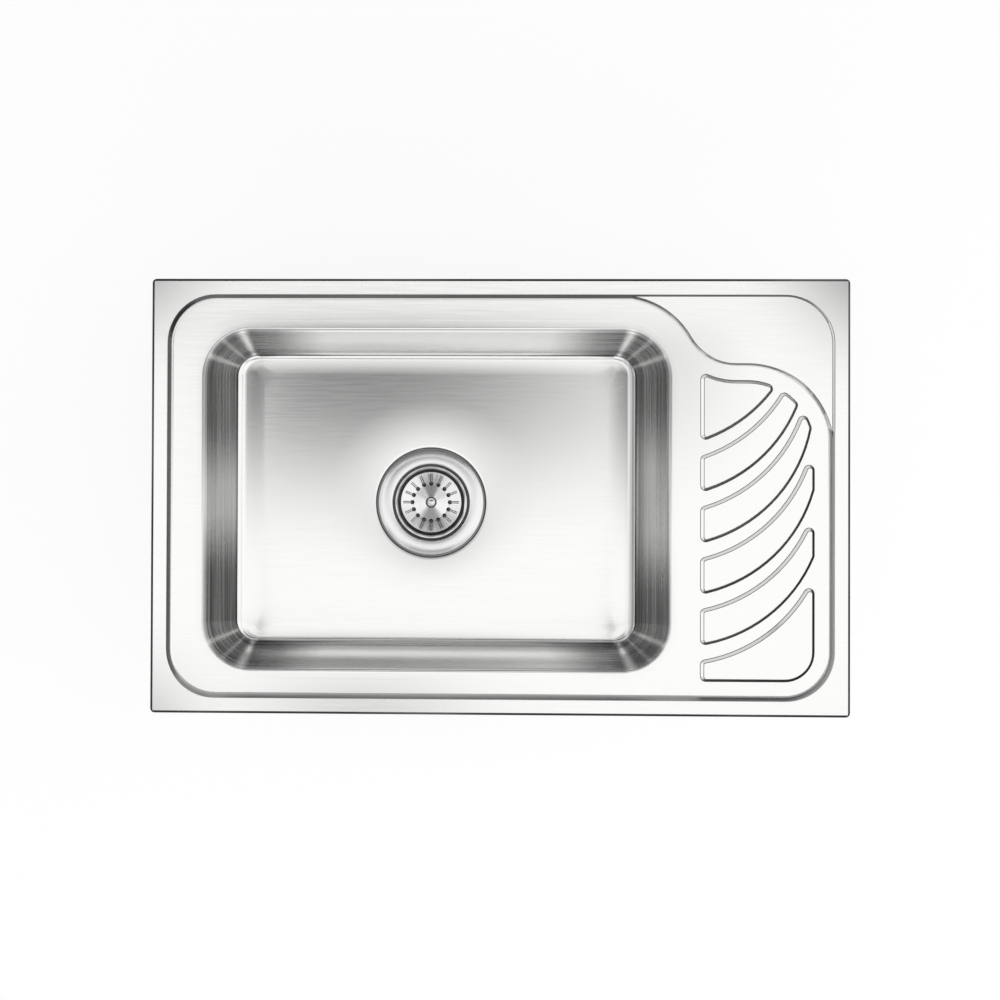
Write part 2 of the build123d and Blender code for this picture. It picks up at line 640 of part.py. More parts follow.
with BuildPart() as lock_nut:
    add(ring(NUT_TOP, NUT_HEIGHT, SLEEVE_RADIUS + NUT_PLAY, NUT_RADIUS - NUT_LUG_WIDTH))
    add(ring(NUT_TOP, NUT_FLANGE, SLEEVE_RADIUS + NUT_PLAY, NUT_RADIUS))
    with BuildSketch(Plane.XY.offset(NUT_TOP)):
        with Locations((DRAIN_X, DRAIN_Y)):
            with PolarLocations(NUT_RADIUS - NUT_LUG_WIDTH, NUT_LUGS):
                Rectangle(2 * NUT_LUG_WIDTH, NUT_LUG_WIDTH)
    extrude(amount=-NUT_HEIGHT)
lock_nut.part.label = "lock_nut"
export_step(lock_nut.part, "parts/lock_nut.step")

# Strainer basket: a beaded lip on the body's shelf, a steep wall and a fluted dish with a ring of holes
BASKET_TOP = CUP_RADIUS - BASKET_PLAY
BASKET_LOW = BASKET_TOP - BASKET_TAPER
LIP_RADIUS = BASKET_TOP + BASKET_LIP
DISH_EDGE = -SHELF_DEPTH - DISH_DEPTH
DISH_LOW = DISH_EDGE - DISH_FALL
DISH_HIGH = DISH_LOW + DISH_DOME
STEM_HOLE = STEM_RADIUS + STEM_PLAY
with BuildPart() as strainer_basket:
    with BuildSketch(DRAIN_SECTION) as basket_section:
        with BuildLine():
            Polyline(
                (LIP_RADIUS, -SHELF_DEPTH),
                (BASKET_TOP, -SHELF_DEPTH),
                (BASKET_LOW, DISH_EDGE),
                (HUB_RADIUS, DISH_LOW),
                (STEM_HOLE, DISH_HIGH),
                (STEM_HOLE, DISH_HIGH + BASKET_SHEET),
                (HUB_RADIUS, DISH_LOW + BASKET_SHEET),
                (BASKET_LOW - BASKET_SHEET, DISH_EDGE + BASKET_SHEET),
                (BASKET_TOP - BASKET_SHEET, -SHELF_DEPTH + BASKET_BEAD),
                (LIP_RADIUS, -SHELF_DEPTH + BASKET_BEAD),
                close=True,
            )
        make_face()
        for bead_radius in (LIP_RADIUS, BASKET_TOP - BASKET_SHEET):
            bead_corner = (bead_radius, -SHELF_DEPTH + BASKET_BEAD, 0)
            chamfer(basket_section.vertices().sort_by_distance(bead_corner)[0], BEAD_BEVEL)
    revolve(axis=DRAIN_AXIS)
    dish_slope = degrees(atan2(DISH_FALL, BASKET_LOW - HUB_RADIUS))
    flute_middle = FLUTE_START + FLUTE_LENGTH / 2
    flute_level = FLANGE_UNDER + DISH_LOW + (flute_middle - HUB_RADIUS) * tan(radians(dish_slope))
    with Locations((DRAIN_X, DRAIN_Y, flute_level)):
        with PolarLocations(flute_middle, STRAINER_HOLES):
            Cylinder(FLUTE_RADIUS, FLUTE_LENGTH, rotation=(0, 90 - dish_slope, 0))
    with BuildSketch(Plane.XY.offset(FLANGE_UNDER + DISH_HIGH)):
        with Locations((DRAIN_X, DRAIN_Y)):
            with PolarLocations(STRAINER_CIRCLE, STRAINER_HOLES):
                Circle(STRAINER_HOLE)
    extrude(amount=2 * DISH_DOME, both=True, mode=Mode.SUBTRACT)
strainer_basket.part.label = "strainer_basket"
export_step(strainer_basket.part, "parts/strainer_basket.step")

KNOB_BASE = DISH_HIGH + BASKET_SHEET
with BuildPart() as basket_knob:
    with BuildSketch(DRAIN_SECTION):
        with BuildLine():
            Line((0, KNOB_BASE + STEM_GRIP), (0, KNOB_BASE + KNOB_HEIGHT))
            crown = KNOB_BASE + KNOB_HEIGHT - KNOB_CROWN
            TangentArc((0, KNOB_BASE + KNOB_HEIGHT), (KNOB_RADIUS, crown), tangent=(1, 0))
            Polyline(
                (KNOB_RADIUS, crown),
                (KNOB_RADIUS, crown - KNOB_CROWN),
                (KNOB_NECK, KNOB_BASE + KNOB_FOOT),
                (KNOB_NECK, KNOB_BASE),
                (STEM_HOLE, KNOB_BASE),
                (STEM_HOLE, KNOB_BASE + STEM_GRIP),
                (0, KNOB_BASE + STEM_GRIP),
            )
        make_face()
    revolve(axis=DRAIN_AXIS)
basket_knob.part.label = "basket_knob"
export_step(basket_knob.part, "parts/basket_knob.step")

STOPPER_TOP = DISH_LOW - STOPPER_PLAY
STOPPER_LOW = -CUP_DEPTH + STOPPER_PLAY
CATCH_TOP = -SPIDER_DEPTH - SPIDER_HEIGHT - CATCH_GAP
with BuildPart() as stopper:
    with BuildSketch(DRAIN_SECTION) as stopper_section:
        with BuildLine():
            Polyline(
                (STEM_HOLE, STOPPER_LOW),
                (STOPPER_RADIUS - STOPPER_PLAY, STOPPER_LOW),
                (STOPPER_RADIUS, STOPPER_LOW + STOPPER_LIP),
                (STOPPER_RADIUS, STOPPER_TOP),
                (STEM_HOLE, STOPPER_TOP),
                close=True,
            )
        make_face()
    revolve(axis=DRAIN_AXIS)
stopper.part.label = "stopper"
export_step(stopper.part, "parts/stopper.step")

with BuildPart() as stopper_washer:
    add(ring(FLANGE_UNDER + STOPPER_LOW, WASHER, STEM_HOLE, WASHER_RADIUS))
stopper_washer.part.label = "stopper_washer"
export_step(stopper_washer.part, "parts/stopper_washer.step")

with BuildPart() as basket_stem:
    with BuildSketch(Plane.XY.offset(FLANGE_UNDER + KNOB_BASE + STEM_GRIP - STEM_PLAY)):
        with Locations((DRAIN_X, DRAIN_Y)):
            Circle(STEM_RADIUS)
    extrude(amount=-(KNOB_BASE + STEM_GRIP - STEM_PLAY - CATCH_TOP + CATCH_HEIGHT / 2))
basket_stem.part.label = "basket_stem"
export_step(basket_stem.part, "parts/basket_stem.step")

with BuildPart() as stem_catch:
    with BuildSketch(DRAIN_SECTION):
        with BuildLine():
            catch_middle = CATCH_TOP - CATCH_HEIGHT / 2
            Polyline((0, catch_middle), (STEM_HOLE, catch_middle), (STEM_HOLE, CATCH_TOP))
            Polyline(
                (STEM_HOLE, CATCH_TOP),
                (CATCH_RADIUS, CATCH_TOP - CATCH_HEIGHT / 3),
                (CATCH_RADIUS, catch_middle),
                (STEM_HOLE, CATCH_TOP - CATCH_HEIGHT),
                (0, CATCH_TOP - CATCH_HEIGHT),
                (0, catch_middle),
            )
        make_face()
    revolve(axis=DRAIN_AXIS)
stem_catch.part.label = "stem_catch"
export_step(stem_catch.part, "parts/stem_catch.step")
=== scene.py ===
"""A pressed stainless inset sink with a drainer, a basket strainer waste and worktop clips."""
import json
import logging
import math
from dataclasses import dataclass
from enum import Enum

import bmesh
import bpy
from bmesh.types import BMEdge, BMesh, BMFace, BMVert
from bpy.types import Material, Node, NodeSocket, NodeTree, Object
from mathutils import Euler, Matrix, Vector


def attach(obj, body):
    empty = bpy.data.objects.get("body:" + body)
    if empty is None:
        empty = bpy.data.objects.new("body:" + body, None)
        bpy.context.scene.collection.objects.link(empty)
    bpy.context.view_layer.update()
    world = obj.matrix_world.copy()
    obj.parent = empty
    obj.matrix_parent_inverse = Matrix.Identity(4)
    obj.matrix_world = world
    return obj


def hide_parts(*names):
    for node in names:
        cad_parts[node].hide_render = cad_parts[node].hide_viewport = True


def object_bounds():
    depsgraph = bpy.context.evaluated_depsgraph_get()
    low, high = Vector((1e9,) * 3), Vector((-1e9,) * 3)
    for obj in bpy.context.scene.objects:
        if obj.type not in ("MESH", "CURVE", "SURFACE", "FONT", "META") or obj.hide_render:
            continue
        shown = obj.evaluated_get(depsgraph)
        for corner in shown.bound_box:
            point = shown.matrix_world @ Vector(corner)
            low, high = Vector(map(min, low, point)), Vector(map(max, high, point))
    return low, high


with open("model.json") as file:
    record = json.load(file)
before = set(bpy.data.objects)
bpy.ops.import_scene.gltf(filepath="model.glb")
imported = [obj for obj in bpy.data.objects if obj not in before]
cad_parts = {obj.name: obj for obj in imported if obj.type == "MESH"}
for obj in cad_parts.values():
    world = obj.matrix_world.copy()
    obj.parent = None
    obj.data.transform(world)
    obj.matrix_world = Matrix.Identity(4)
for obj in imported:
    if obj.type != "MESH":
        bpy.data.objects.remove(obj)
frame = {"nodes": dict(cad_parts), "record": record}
CAD_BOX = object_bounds()
LOG = logging.getLogger("sink")
Pair = tuple[float, float]
Triple = tuple[float, float, float]
MM = 0.001
WHITE = (1, 1, 1, 1)
# Where the drain's axis stands, in millimetres.
DRAIN = (-78.0, -9.0)
# Corners of the CAD's triangles that lie nearer than this become one, and so do faces that turn less than this.
MERGE_GAP = 1e-6
FLAT_TURN = math.radians(0.3)
# Most of a noise texture's values lie between these.
NOISE_SPAN = {"From Min": 0.3, "From Max": 0.7}
# How much of the rings map a metre of the section takes, and a radian round the axis.
RINGS_SCALE = (10.0, 0.2)


class Slot(Enum):
    """The record's material slots."""

    SHEET = "polished_sheet_steel"
    SPUN = "spun_steel"
    KNOB = "polished_knob"
    ZINC = "zinc_plated_steel"
    FOAM = "foam_seal"
    BITUMEN = "bitumen_pad"
    RUBBER = "black_rubber"
    FIBRE = "fibre_washer"
    NYLON = "nylon"


def linear(colour: str) -> tuple[float, float, float, float]:
    """Turns an sRGB hex colour to linear light.

    Args:
        colour: six hex digits.

    Returns:
        Red, green, blue and an alpha of 1.
    """
    parts = [int(colour[i:i + 2], 16) / 255 for i in (0, 2, 4)]
    light = [p / 12.92 if p <= 0.04045 else ((p + 0.055) / 1.055) ** 2.4 for p in parts]
    return (light[0], light[1], light[2], 1.0)


def add_node(tree: NodeTree, kind: str, inputs: dict | None = None, **settings) -> Node:
    """Adds a node with its settings, values and links.

    Args:
        tree: the material's or world's node tree.
        kind: the shader node's type.
        inputs: a value or an output socket for each input, by name or number.
        settings: the node's own properties.

    Returns:
        The new node.
    """
    node = tree.nodes.new("ShaderNode" + kind)
    for key, value in settings.items():
        setattr(node, key, value)
    for key, value in (inputs or {}).items():
        if isinstance(value, NodeSocket):
            tree.links.new(value, node.inputs[key])
        else:
            node.inputs[key].default_value = value
    return node


def new_material(name: str) -> tuple[Material, NodeTree]:
    """Makes an empty node material.

    Args:
        name: the material's name.

    Returns:
        The material and its node tree.
    """
    material = bpy.data.materials.new(name)
    material.use_nodes = True
    material.node_tree.nodes.clear()
    return material, material.node_tree


@dataclass(frozen=True)
class Metal:
    """A metal's finish: its colours, gloss, the marks that its making left and its painted shade.

    Painted shade, from a piece's attribute where it has one, takes the colour from bright to dark in place of the
    shade and the dark reflections in bends, walls and hollows. A turned piece has its grain in rings about its axis,
    and a rings map along which its highlights stretch.
    """

    name: str
    bright: str
    # The colour that painted shade and the grain's mottle take the metal towards.
    shade_and_mottle: str
    roughness: float
    spread: float
    grain_mm: Triple
    bump_mm: float
    mottle: float = 0.06
    streak: float = 0.0
    streak_mm: Triple = (250.0, 250.0, 1000 / 130)
    axis_mm: Pair | None = None
    stretch: float = 0.0
    # The edge tint and the extra roughness where painted shade and mottle lie.
    shade_and_mottle_edge: str = "9a9a9a"
    shade_and_mottle_haze: float = 0.2
    toned: bool = True

    def grain_place(self, tree: NodeTree) -> NodeSocket:
        """Gives the place that the grain is drawn from, in millimetres over the grain's size.

        Args:
            tree: the material's tree.

        Returns:
            A vector: along the sheet, or outwards from the axis.
        """
        place = add_node(tree, "TexCoord").outputs["Object"]
        if self.axis_mm:
            flat = add_node(tree, "Mapping", {
                "Vector": place, "Location": (-self.axis_mm[0] * MM, -self.axis_mm[1] * MM, 0), "Scale": (1, 1, 0)})
            away = add_node(tree, "VectorMath", {0: flat.outputs["Vector"]}, operation="LENGTH")
            height = add_node(tree, "SeparateXYZ", {"Vector": place})
            place = add_node(tree, "CombineXYZ", {
                "X": away.outputs["Value"], "Z": height.outputs["Z"]}).outputs["Vector"]
        return add_node(tree, "Mapping", {
            "Vector": place, "Scale": tuple(1 / (g * MM) for g in self.grain_mm)}).outputs["Vector"]

    def shade_and_mottle_share(self, tree: NodeTree, grain: NodeSocket) -> NodeSocket:
        """Adds up the piece's painted shade, broken into streaks by noise, and the grain's mottle.

        Args:
            tree: the material's tree.
            grain: the grain's value.

        Returns:
            How much painted shade and mottle the metal takes, from 0 to 1.
        """
        if not self.toned:
            return grain
        # Painted shade, from the piece's attribute.
        painted_shade = add_node(tree, "Attribute", attribute_name="painted_shade").outputs["Fac"]
        if self.streak:
            place = add_node(tree, "TexCoord")
            along = add_node(tree, "Mapping", {
                "Vector": place.outputs["Object"], "Scale": tuple(1 / (s * MM) for s in self.streak_mm)})
            lines = add_node(tree, "TexNoise", {
                "Vector": along.outputs["Vector"], "Scale": 1.0, "Detail": 2.0, "Roughness": 0.5})
            gain = add_node(tree, "MapRange", {
                "Value": lines.outputs["Fac"], **NOISE_SPAN, "To Min": 1 - self.streak, "To Max": 1 + self.streak})
            painted_shade = add_node(tree, "Math", {0: painted_shade, 1: gain.outputs["Result"]},
                            operation="MULTIPLY").outputs[0]
        return add_node(tree, "Math", {0: grain, 1: self.mottle, 2: painted_shade}, operation="MULTIPLY_ADD",
                        use_clamp=True).outputs[0]

    def material(self) -> Material:
        """Builds the node material: grain in colour, gloss and a slight bump, and painted shade in colour and gloss.

        Returns:
            The material.
        """
        material, tree = new_material(self.name)
        grain = add_node(tree, "TexNoise", {
            "Vector": self.grain_place(tree), "Scale": 1.0, "Detail": 2.0, "Roughness": 0.6}).outputs["Fac"]
        # Painted shade and mottle darken the colour and the edge tint and blur the gloss.
        shade_and_mottle = self.shade_and_mottle_share(tree, grain)
        gloss = add_node(tree, "MapRange", {
            "Value": grain, **NOISE_SPAN,
            "To Min": self.roughness - self.spread, "To Max": self.roughness + self.spread})
        rough = add_node(tree, "Math", {0: shade_and_mottle, 1: self.shade_and_mottle_haze, 2: gloss.outputs["Result"]},
                         operation="MULTIPLY_ADD")
        relief = add_node(tree, "Bump", {
            "Height": grain, "Strength": 1.0, "Distance": self.bump_mm * MM})
        colour = add_node(tree, "Mix", {
            "Factor": shade_and_mottle, "A": linear(self.bright), "B": linear(self.shade_and_mottle)}, data_type="RGBA")
        edge = add_node(tree, "Mix", {
            "Factor": shade_and_mottle, "A": WHITE, "B": linear(self.shade_and_mottle_edge)}, data_type="RGBA")
        shader = add_node(tree, "BsdfPrincipled", {
            "Base Color": colour.outputs["Result"], "Specular Tint": edge.outputs["Result"], "Metallic": 1.0,
            "Roughness": rough.outputs[0], "Normal": relief.outputs["Normal"], "Anisotropic": self.stretch})
        if self.stretch:
            way = add_node(tree, "Tangent", direction_type="UV_MAP", uv_map="rings")
            tree.links.new(way.outputs["Tangent"], shader.inputs["Tangent"])
        add_node(tree, "OutputMaterial", {"Surface": shader.outputs["BSDF"]})
        return material


@dataclass(frozen=True)
class Coat:
    """A non-metal's finish: its colours, gloss and grain."""

    name: str
    dark: str
    light: str
    roughness: float
    grain_mm: float
    bump_mm: float

    def material(self) -> Material:
        """Builds the node material, with the grain in the colour and in a bump.

        Returns:
            The material.
        """
        material, tree = new_material(self.name)
        place = add_node(tree, "TexCoord")
        grain = add_node(tree, "TexNoise", {
            "Vector": place.outputs["Object"], "Scale": 1 / (self.grain_mm * MM), "Detail": 3.0}).outputs["Fac"]
        colour = add_node(tree, "Mix", {
            "Factor": grain, "A": linear(self.dark), "B": linear(self.light)}, data_type="RGBA")
        relief = add_node(tree, "Bump", {
            "Height": grain, "Strength": 1.0, "Distance": self.bump_mm * MM})
        shader = add_node(tree, "BsdfPrincipled", {
            "Base Color": colour.outputs["Result"], "Roughness": self.roughness, "Normal": relief.outputs["Normal"]})
        add_node(tree, "OutputMaterial", {"Surface": shader.outputs["BSDF"]})
        return material


def smooth(value: float, low: float, high: float) -> float:
    """Rises from 0 at low to 1 at high with soft ends."""
    share = min(max((value - low) / (high - low), 0.0), 1.0)
    return share * share * (3 - 2 * share)


def creases(bm: BMesh, angle: float) -> list[BMEdge]:
    """Finds the edges whose two faces turn by more than an angle."""
    return [e for e in bm.edges if len(e.link_faces) == 2 and e.calc_face_angle() > angle]


def round_off(bm: BMesh, edges: list[BMEdge], size: float, steps: int = 3) -> list[BMFace]:
    """Rounds edges off.

    Args:
        bm: the piece's shape.
        edges: its edges to round.
        size: how far from each edge the rounding starts.
        steps: how many faces it has across.

    Returns:
        The new faces.
    """
    return bmesh.ops.bevel(bm, geom=edges, offset=size, offset_type="OFFSET", affect="EDGES", segments=steps,
                           profile=0.5, material=-1, clamp_overlap=True)["faces"]


def extrude_ring(bm: BMesh, ring: list[BMEdge]) -> tuple[list[BMVert], list[BMEdge]]:
    """Draws a ring of edges on by one step, which is still to be put in its place.

    Args:
        bm: the piece's shape.
        ring: the open edges.

    Returns:
        The new ring's corners and its edges.
    """
    step = bmesh.ops.extrude_edge_only(bm, edges=ring)["geom"]
    return ([g for g in step if isinstance(g, BMVert)],
            [g for g in step if isinstance(g, BMEdge) and len(g.link_faces) == 1])


def lay_rings(bm: BMesh, axis: Vector) -> None:
    """Lays the rings map of a turned piece: outwards and down its section first, then round it.

    Args:
        bm: the piece's shape.
        axis: a point on its upright axis.
    """
    layer = bm.loops.layers.uv.new("rings")
    for face in bm.faces:
        middle = face.calc_center_median() - axis
        turn = math.atan2(middle.y, middle.x)
        for loop in face.loops:
            place = loop.vert.co - axis
            swing = math.remainder(math.atan2(place.y, place.x) - turn, math.tau)
            loop[layer].uv = ((place.to_2d().length - place.z) * RINGS_SCALE[0], (turn + swing) * RINGS_SCALE[1])


def wind_thread(bm: BMesh, foot: Vector, root: float, crest: float, half: float, pitch: float,
                turns: int, steps: int = 24) -> None:
    """Winds a thread's ridge about an upright axis and adds it to a piece.

    Args:
        bm: the piece's shape.
        foot: where on the axis the ridge starts.
        root: its inner radius.
        crest: its outer radius.
        half: half its width.
        pitch: its rise in a turn; a negative one winds it down.
        turns: how many turns it has.
        steps: how many straight lengths a turn has.
    """
    ridge = bmesh.new()
    verts = [ridge.verts.new(foot + Vector(c)) for c in ((root, 0, -half), (crest, 0, 0), (root, 0, half))]
    edges = [ridge.edges.new((verts[i - 1], verts[i])) for i in range(3)]
    bmesh.ops.spin(ridge, geom=verts + edges, cent=foot, axis=(0, 0, 1), dvec=(0, 0, pitch / steps),
                   angle=math.tau * turns, steps=steps * turns, use_merge=False, use_duplicate=False)
    bmesh.ops.holes_fill(ridge, edges=ridge.edges, sides=3)
    bmesh.ops.recalc_face_normals(ridge, faces=ridge.faces)
    copy = bpy.data.meshes.new("thread_ridge")
    ridge.to_mesh(copy)
    ridge.free()
    bm.from_mesh(copy)
    bpy.data.meshes.remove(copy)


def place_object(bm: BMesh, name: str, material: Material) -> Object:
    """Turns a bmesh into an object of the scene.

    Args:
        bm: the shape, in metres and in its place; it is freed.
        name: the object's name.
        material: its finish.

    Returns:
        The object.
    """
    mesh = bpy.data.meshes.new(name)
    bm.to_mesh(mesh)
    bm.free()
    mesh.materials.append(material)
    placed = bpy.data.objects.new(name, mesh)
    bpy.context.scene.collection.objects.link(placed)
    return placed


def finish_piece(bm: BMesh, name: str, material: Material, body: str,
                 nodes: tuple[str, ...], crease: float) -> Object:
    """Turns a bmesh into a smooth piece that rides on a body and stands for CAD nodes.

    Args:
        bm: the shape, in metres and in its place; it is freed.
        name: the piece's name.
        material: its finish.
        body: the body that it rides on.
        nodes: the CAD nodes that it replaces.
        crease: the angle in degrees past which an edge stays sharp.

    Returns:
        The piece.
    """
    for face in bm.faces:
        face.smooth = True
    for edge in bm.edges:
        edge.smooth = edge.is_manifold and edge.calc_face_angle(0) < math.radians(crease)
    piece = place_object(bm, name, material)
    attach(piece, body)
    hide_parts(*nodes)
    LOG.info("%s: %d faces", name, len(piece.data.polygons))
    return piece


def merged_copy(node: str) -> BMesh:
    """Copies a CAD node's triangles into a bmesh, merged and with flat faces joined.

    Args:
        node: the node's name.

    Returns:
        The copy.
    """
    bm = bmesh.new()
    bm.from_mesh(frame["nodes"][node].data)
    bmesh.ops.remove_doubles(bm, verts=bm.verts, dist=MERGE_GAP)
    bmesh.ops.dissolve_limit(bm, angle_limit=FLAT_TURN, verts=bm.verts, edges=bm.edges)
    return bm


def level_normals(piece: Object) -> None:
    """Lets a piece's large faces lead its shading."""
    piece.modifiers.new("large_faces_lead", "WEIGHTED_NORMAL").keep_sharp = True


@dataclass
class Deck:
    """The pressed deck: the CAD sheet with its bends rounded and painted with shade.

    A lean is the height of a face's normal. A turn tells how much a slope faces the lit side, from -1 to 1. Tones
    are painted shade, dark lines in place of the bends' dark reflections, and run from 0, bright, to 1, darkest.
    """

    half_width: float = 400 * MM
    half_depth: float = 250 * MM
    # Painted shade: a dark outline on the rim's rounded edge, and dark lines in the bends and on the slopes that turn
    # from the light.
    rim_edge: float = 3.1 * MM
    rim_leans: Pair = (0.05, 0.999)
    rim_tone: float = 0.97
    crease_angle: float = math.radians(12)
    top_lean: float = 0.3
    bend: float = 0.85 * MM
    bend_steps: int = 4
    foot_bend: float = 1.7 * MM
    foot_steps: int = 6
    foot_leans: Pair = (0.97, 0.7)
    foot_tones: Pair = (0.3, 0.65)
    slope_leans: Pair = (0.5, 0.9)
    slope_tone: float = 0.85
    low: float = 2.6 * MM
    low_tone: float = 0.95
    step_low: float = 6.0 * MM
    step_lean: float = 0.68
    step_reach: float = 42 * MM
    step_shade: float = 0.75
    line_tones: Pair = (0.66, 0.28)
    line_turns: Pair = (0.82, 0.98)
    shade_turns: Pair = (-0.4, 0.1)
    ledge_end: float = 76 * MM
    least_left: float = 0.9
    level: float = 1e-4
    lit_from: Vector = Vector((-0.8, 0.6))

    def build(self, material: Material) -> None:
        """Rounds the top's creases on a merged copy of the CAD sheet and paints shade into its slopes, bends and rim.

        Args:
            material: the sheet's finish.
        """
        bm = merged_copy("deck")
        self.part_right_step(bm)
        # Painted shade: the slopes and bends get dark lines, darkest where they turn from the light, in place of
        # reflections.
        painted_shade = bm.faces.layers.float.new("painted_shade")
        bends = [e for e in creases(bm, self.crease_angle) if all(f.normal.z > self.top_lean for f in e.link_faces)]
        feet = [e for e in bends if self.is_step_foot(e)]
        rest = [e for e in bends if not self.is_step_foot(e)]
        for face in bm.faces:
            if self.is_slope(face):
                steep = face.normal.z < self.step_lean
                face[painted_shade] = self.shade(face) * (self.line(face) if steep else self.slope_tone)
        least, gain = self.foot_tones
        for face in round_off(bm, feet, self.foot_bend, self.foot_steps):
            steepness = smooth(face.normal.z, *self.foot_leans)
            face[painted_shade] = steepness * (least + gain * self.shade(face)) * self.line(face)
        for face in round_off(bm, rest, self.bend, self.bend_steps):
            low = face.calc_center_median().z < (self.step_low if self.on_outer_step(face) else self.low)
            face[painted_shade] = self.low_tone if low else self.slope_tone * (1 - self.shade(face))
        # Painted shade: a dark outline round the rim's rounded edge.
        for face in bm.faces:
            if self.on_rim_edge(face):
                face[painted_shade] = self.rim_tone
        level_normals(finish_piece(bm, "pressed_deck", material, "sink", ("deck",), 30.0))

    def is_slope(self, face: BMFace) -> bool:
        """Tells the sheet's slopes from its flats and its cut edges."""
        return self.slope_leans[0] < face.normal.z < self.slope_leans[1]

    def is_step_foot(self, edge: BMEdge) -> bool:
        """Tells the foot of the recess's steep step from the other bends."""
        steep = min(f.normal.z for f in edge.link_faces) < self.step_lean
        return steep and not edge.is_convex and edge.verts[0].co.z < self.low

    def within(self, face: BMFace, reach: float) -> bool:
        """Tells whether a face lies nearer to the sink's outline than a reach."""
        place = face.calc_center_median()
        return abs(place.x) > self.half_width - reach or abs(place.y) > self.half_depth - reach

    def shade(self, face: BMFace) -> float:
        """Tells how much painted shade a slope gets.

        Args:
            face: a face on a slope or bend of the sheet's top.

        Returns:
            1 where it turns away from the lit side and 0 where it faces it; the outer step's corners keep painted
            shade.
        """
        way = face.normal.to_2d()
        if way.length < self.level:
            return 0.0
        away = 1 - smooth(way.normalized().dot(self.lit_from), *self.shade_turns)
        return max(away, self.step_shade) if self.on_outer_step(face) else away

    def on_outer_step(self, face: BMFace) -> bool:
        """Tells the step down from the rim from the pads and the ledge's edge, but for the ledge's pale right side."""
        pale = face.normal.to_2d().normalized().x < -self.least_left and face.calc_center_median().y > self.ledge_end
        return self.within(face, self.step_reach) and not pale

    def part_right_step(self, bm: BMesh) -> None:
        """Parts the right side's step where the ledge ends, so that its two lengths can differ in painted shade.

        Args:
            bm: the sheet's shape.
        """
        sides = [f for f in bm.faces if self.is_slope(f) and f.normal.x < 0 and abs(f.normal.y) < 0.02
                 and f.calc_center_median().x > self.half_width - self.step_reach]
        around = dict.fromkeys(g for f in sides for g in (*f.edges, *f.verts))
        bmesh.ops.bisect_plane(bm, geom=[*sides, *around], plane_co=(0, self.ledge_end, 0), plane_no=(0, 1, 0))

    def line(self, face: BMFace) -> float:
        """Gives the step's painted dark line, which is strongest at the corner that turns straight away from the light.
        """
        away = -face.normal.to_2d().normalized().dot(self.lit_from)
        return self.line_tones[0] + self.line_tones[1] * smooth(away, *self.line_turns)

    def on_rim_edge(self, face: BMFace) -> bool:
        """Tells the rounded outer edge of the rim, which is painted as a dark outline."""
        return self.within(face, self.rim_edge) and self.rim_leans[0] < face.normal.z < self.rim_leans[1]


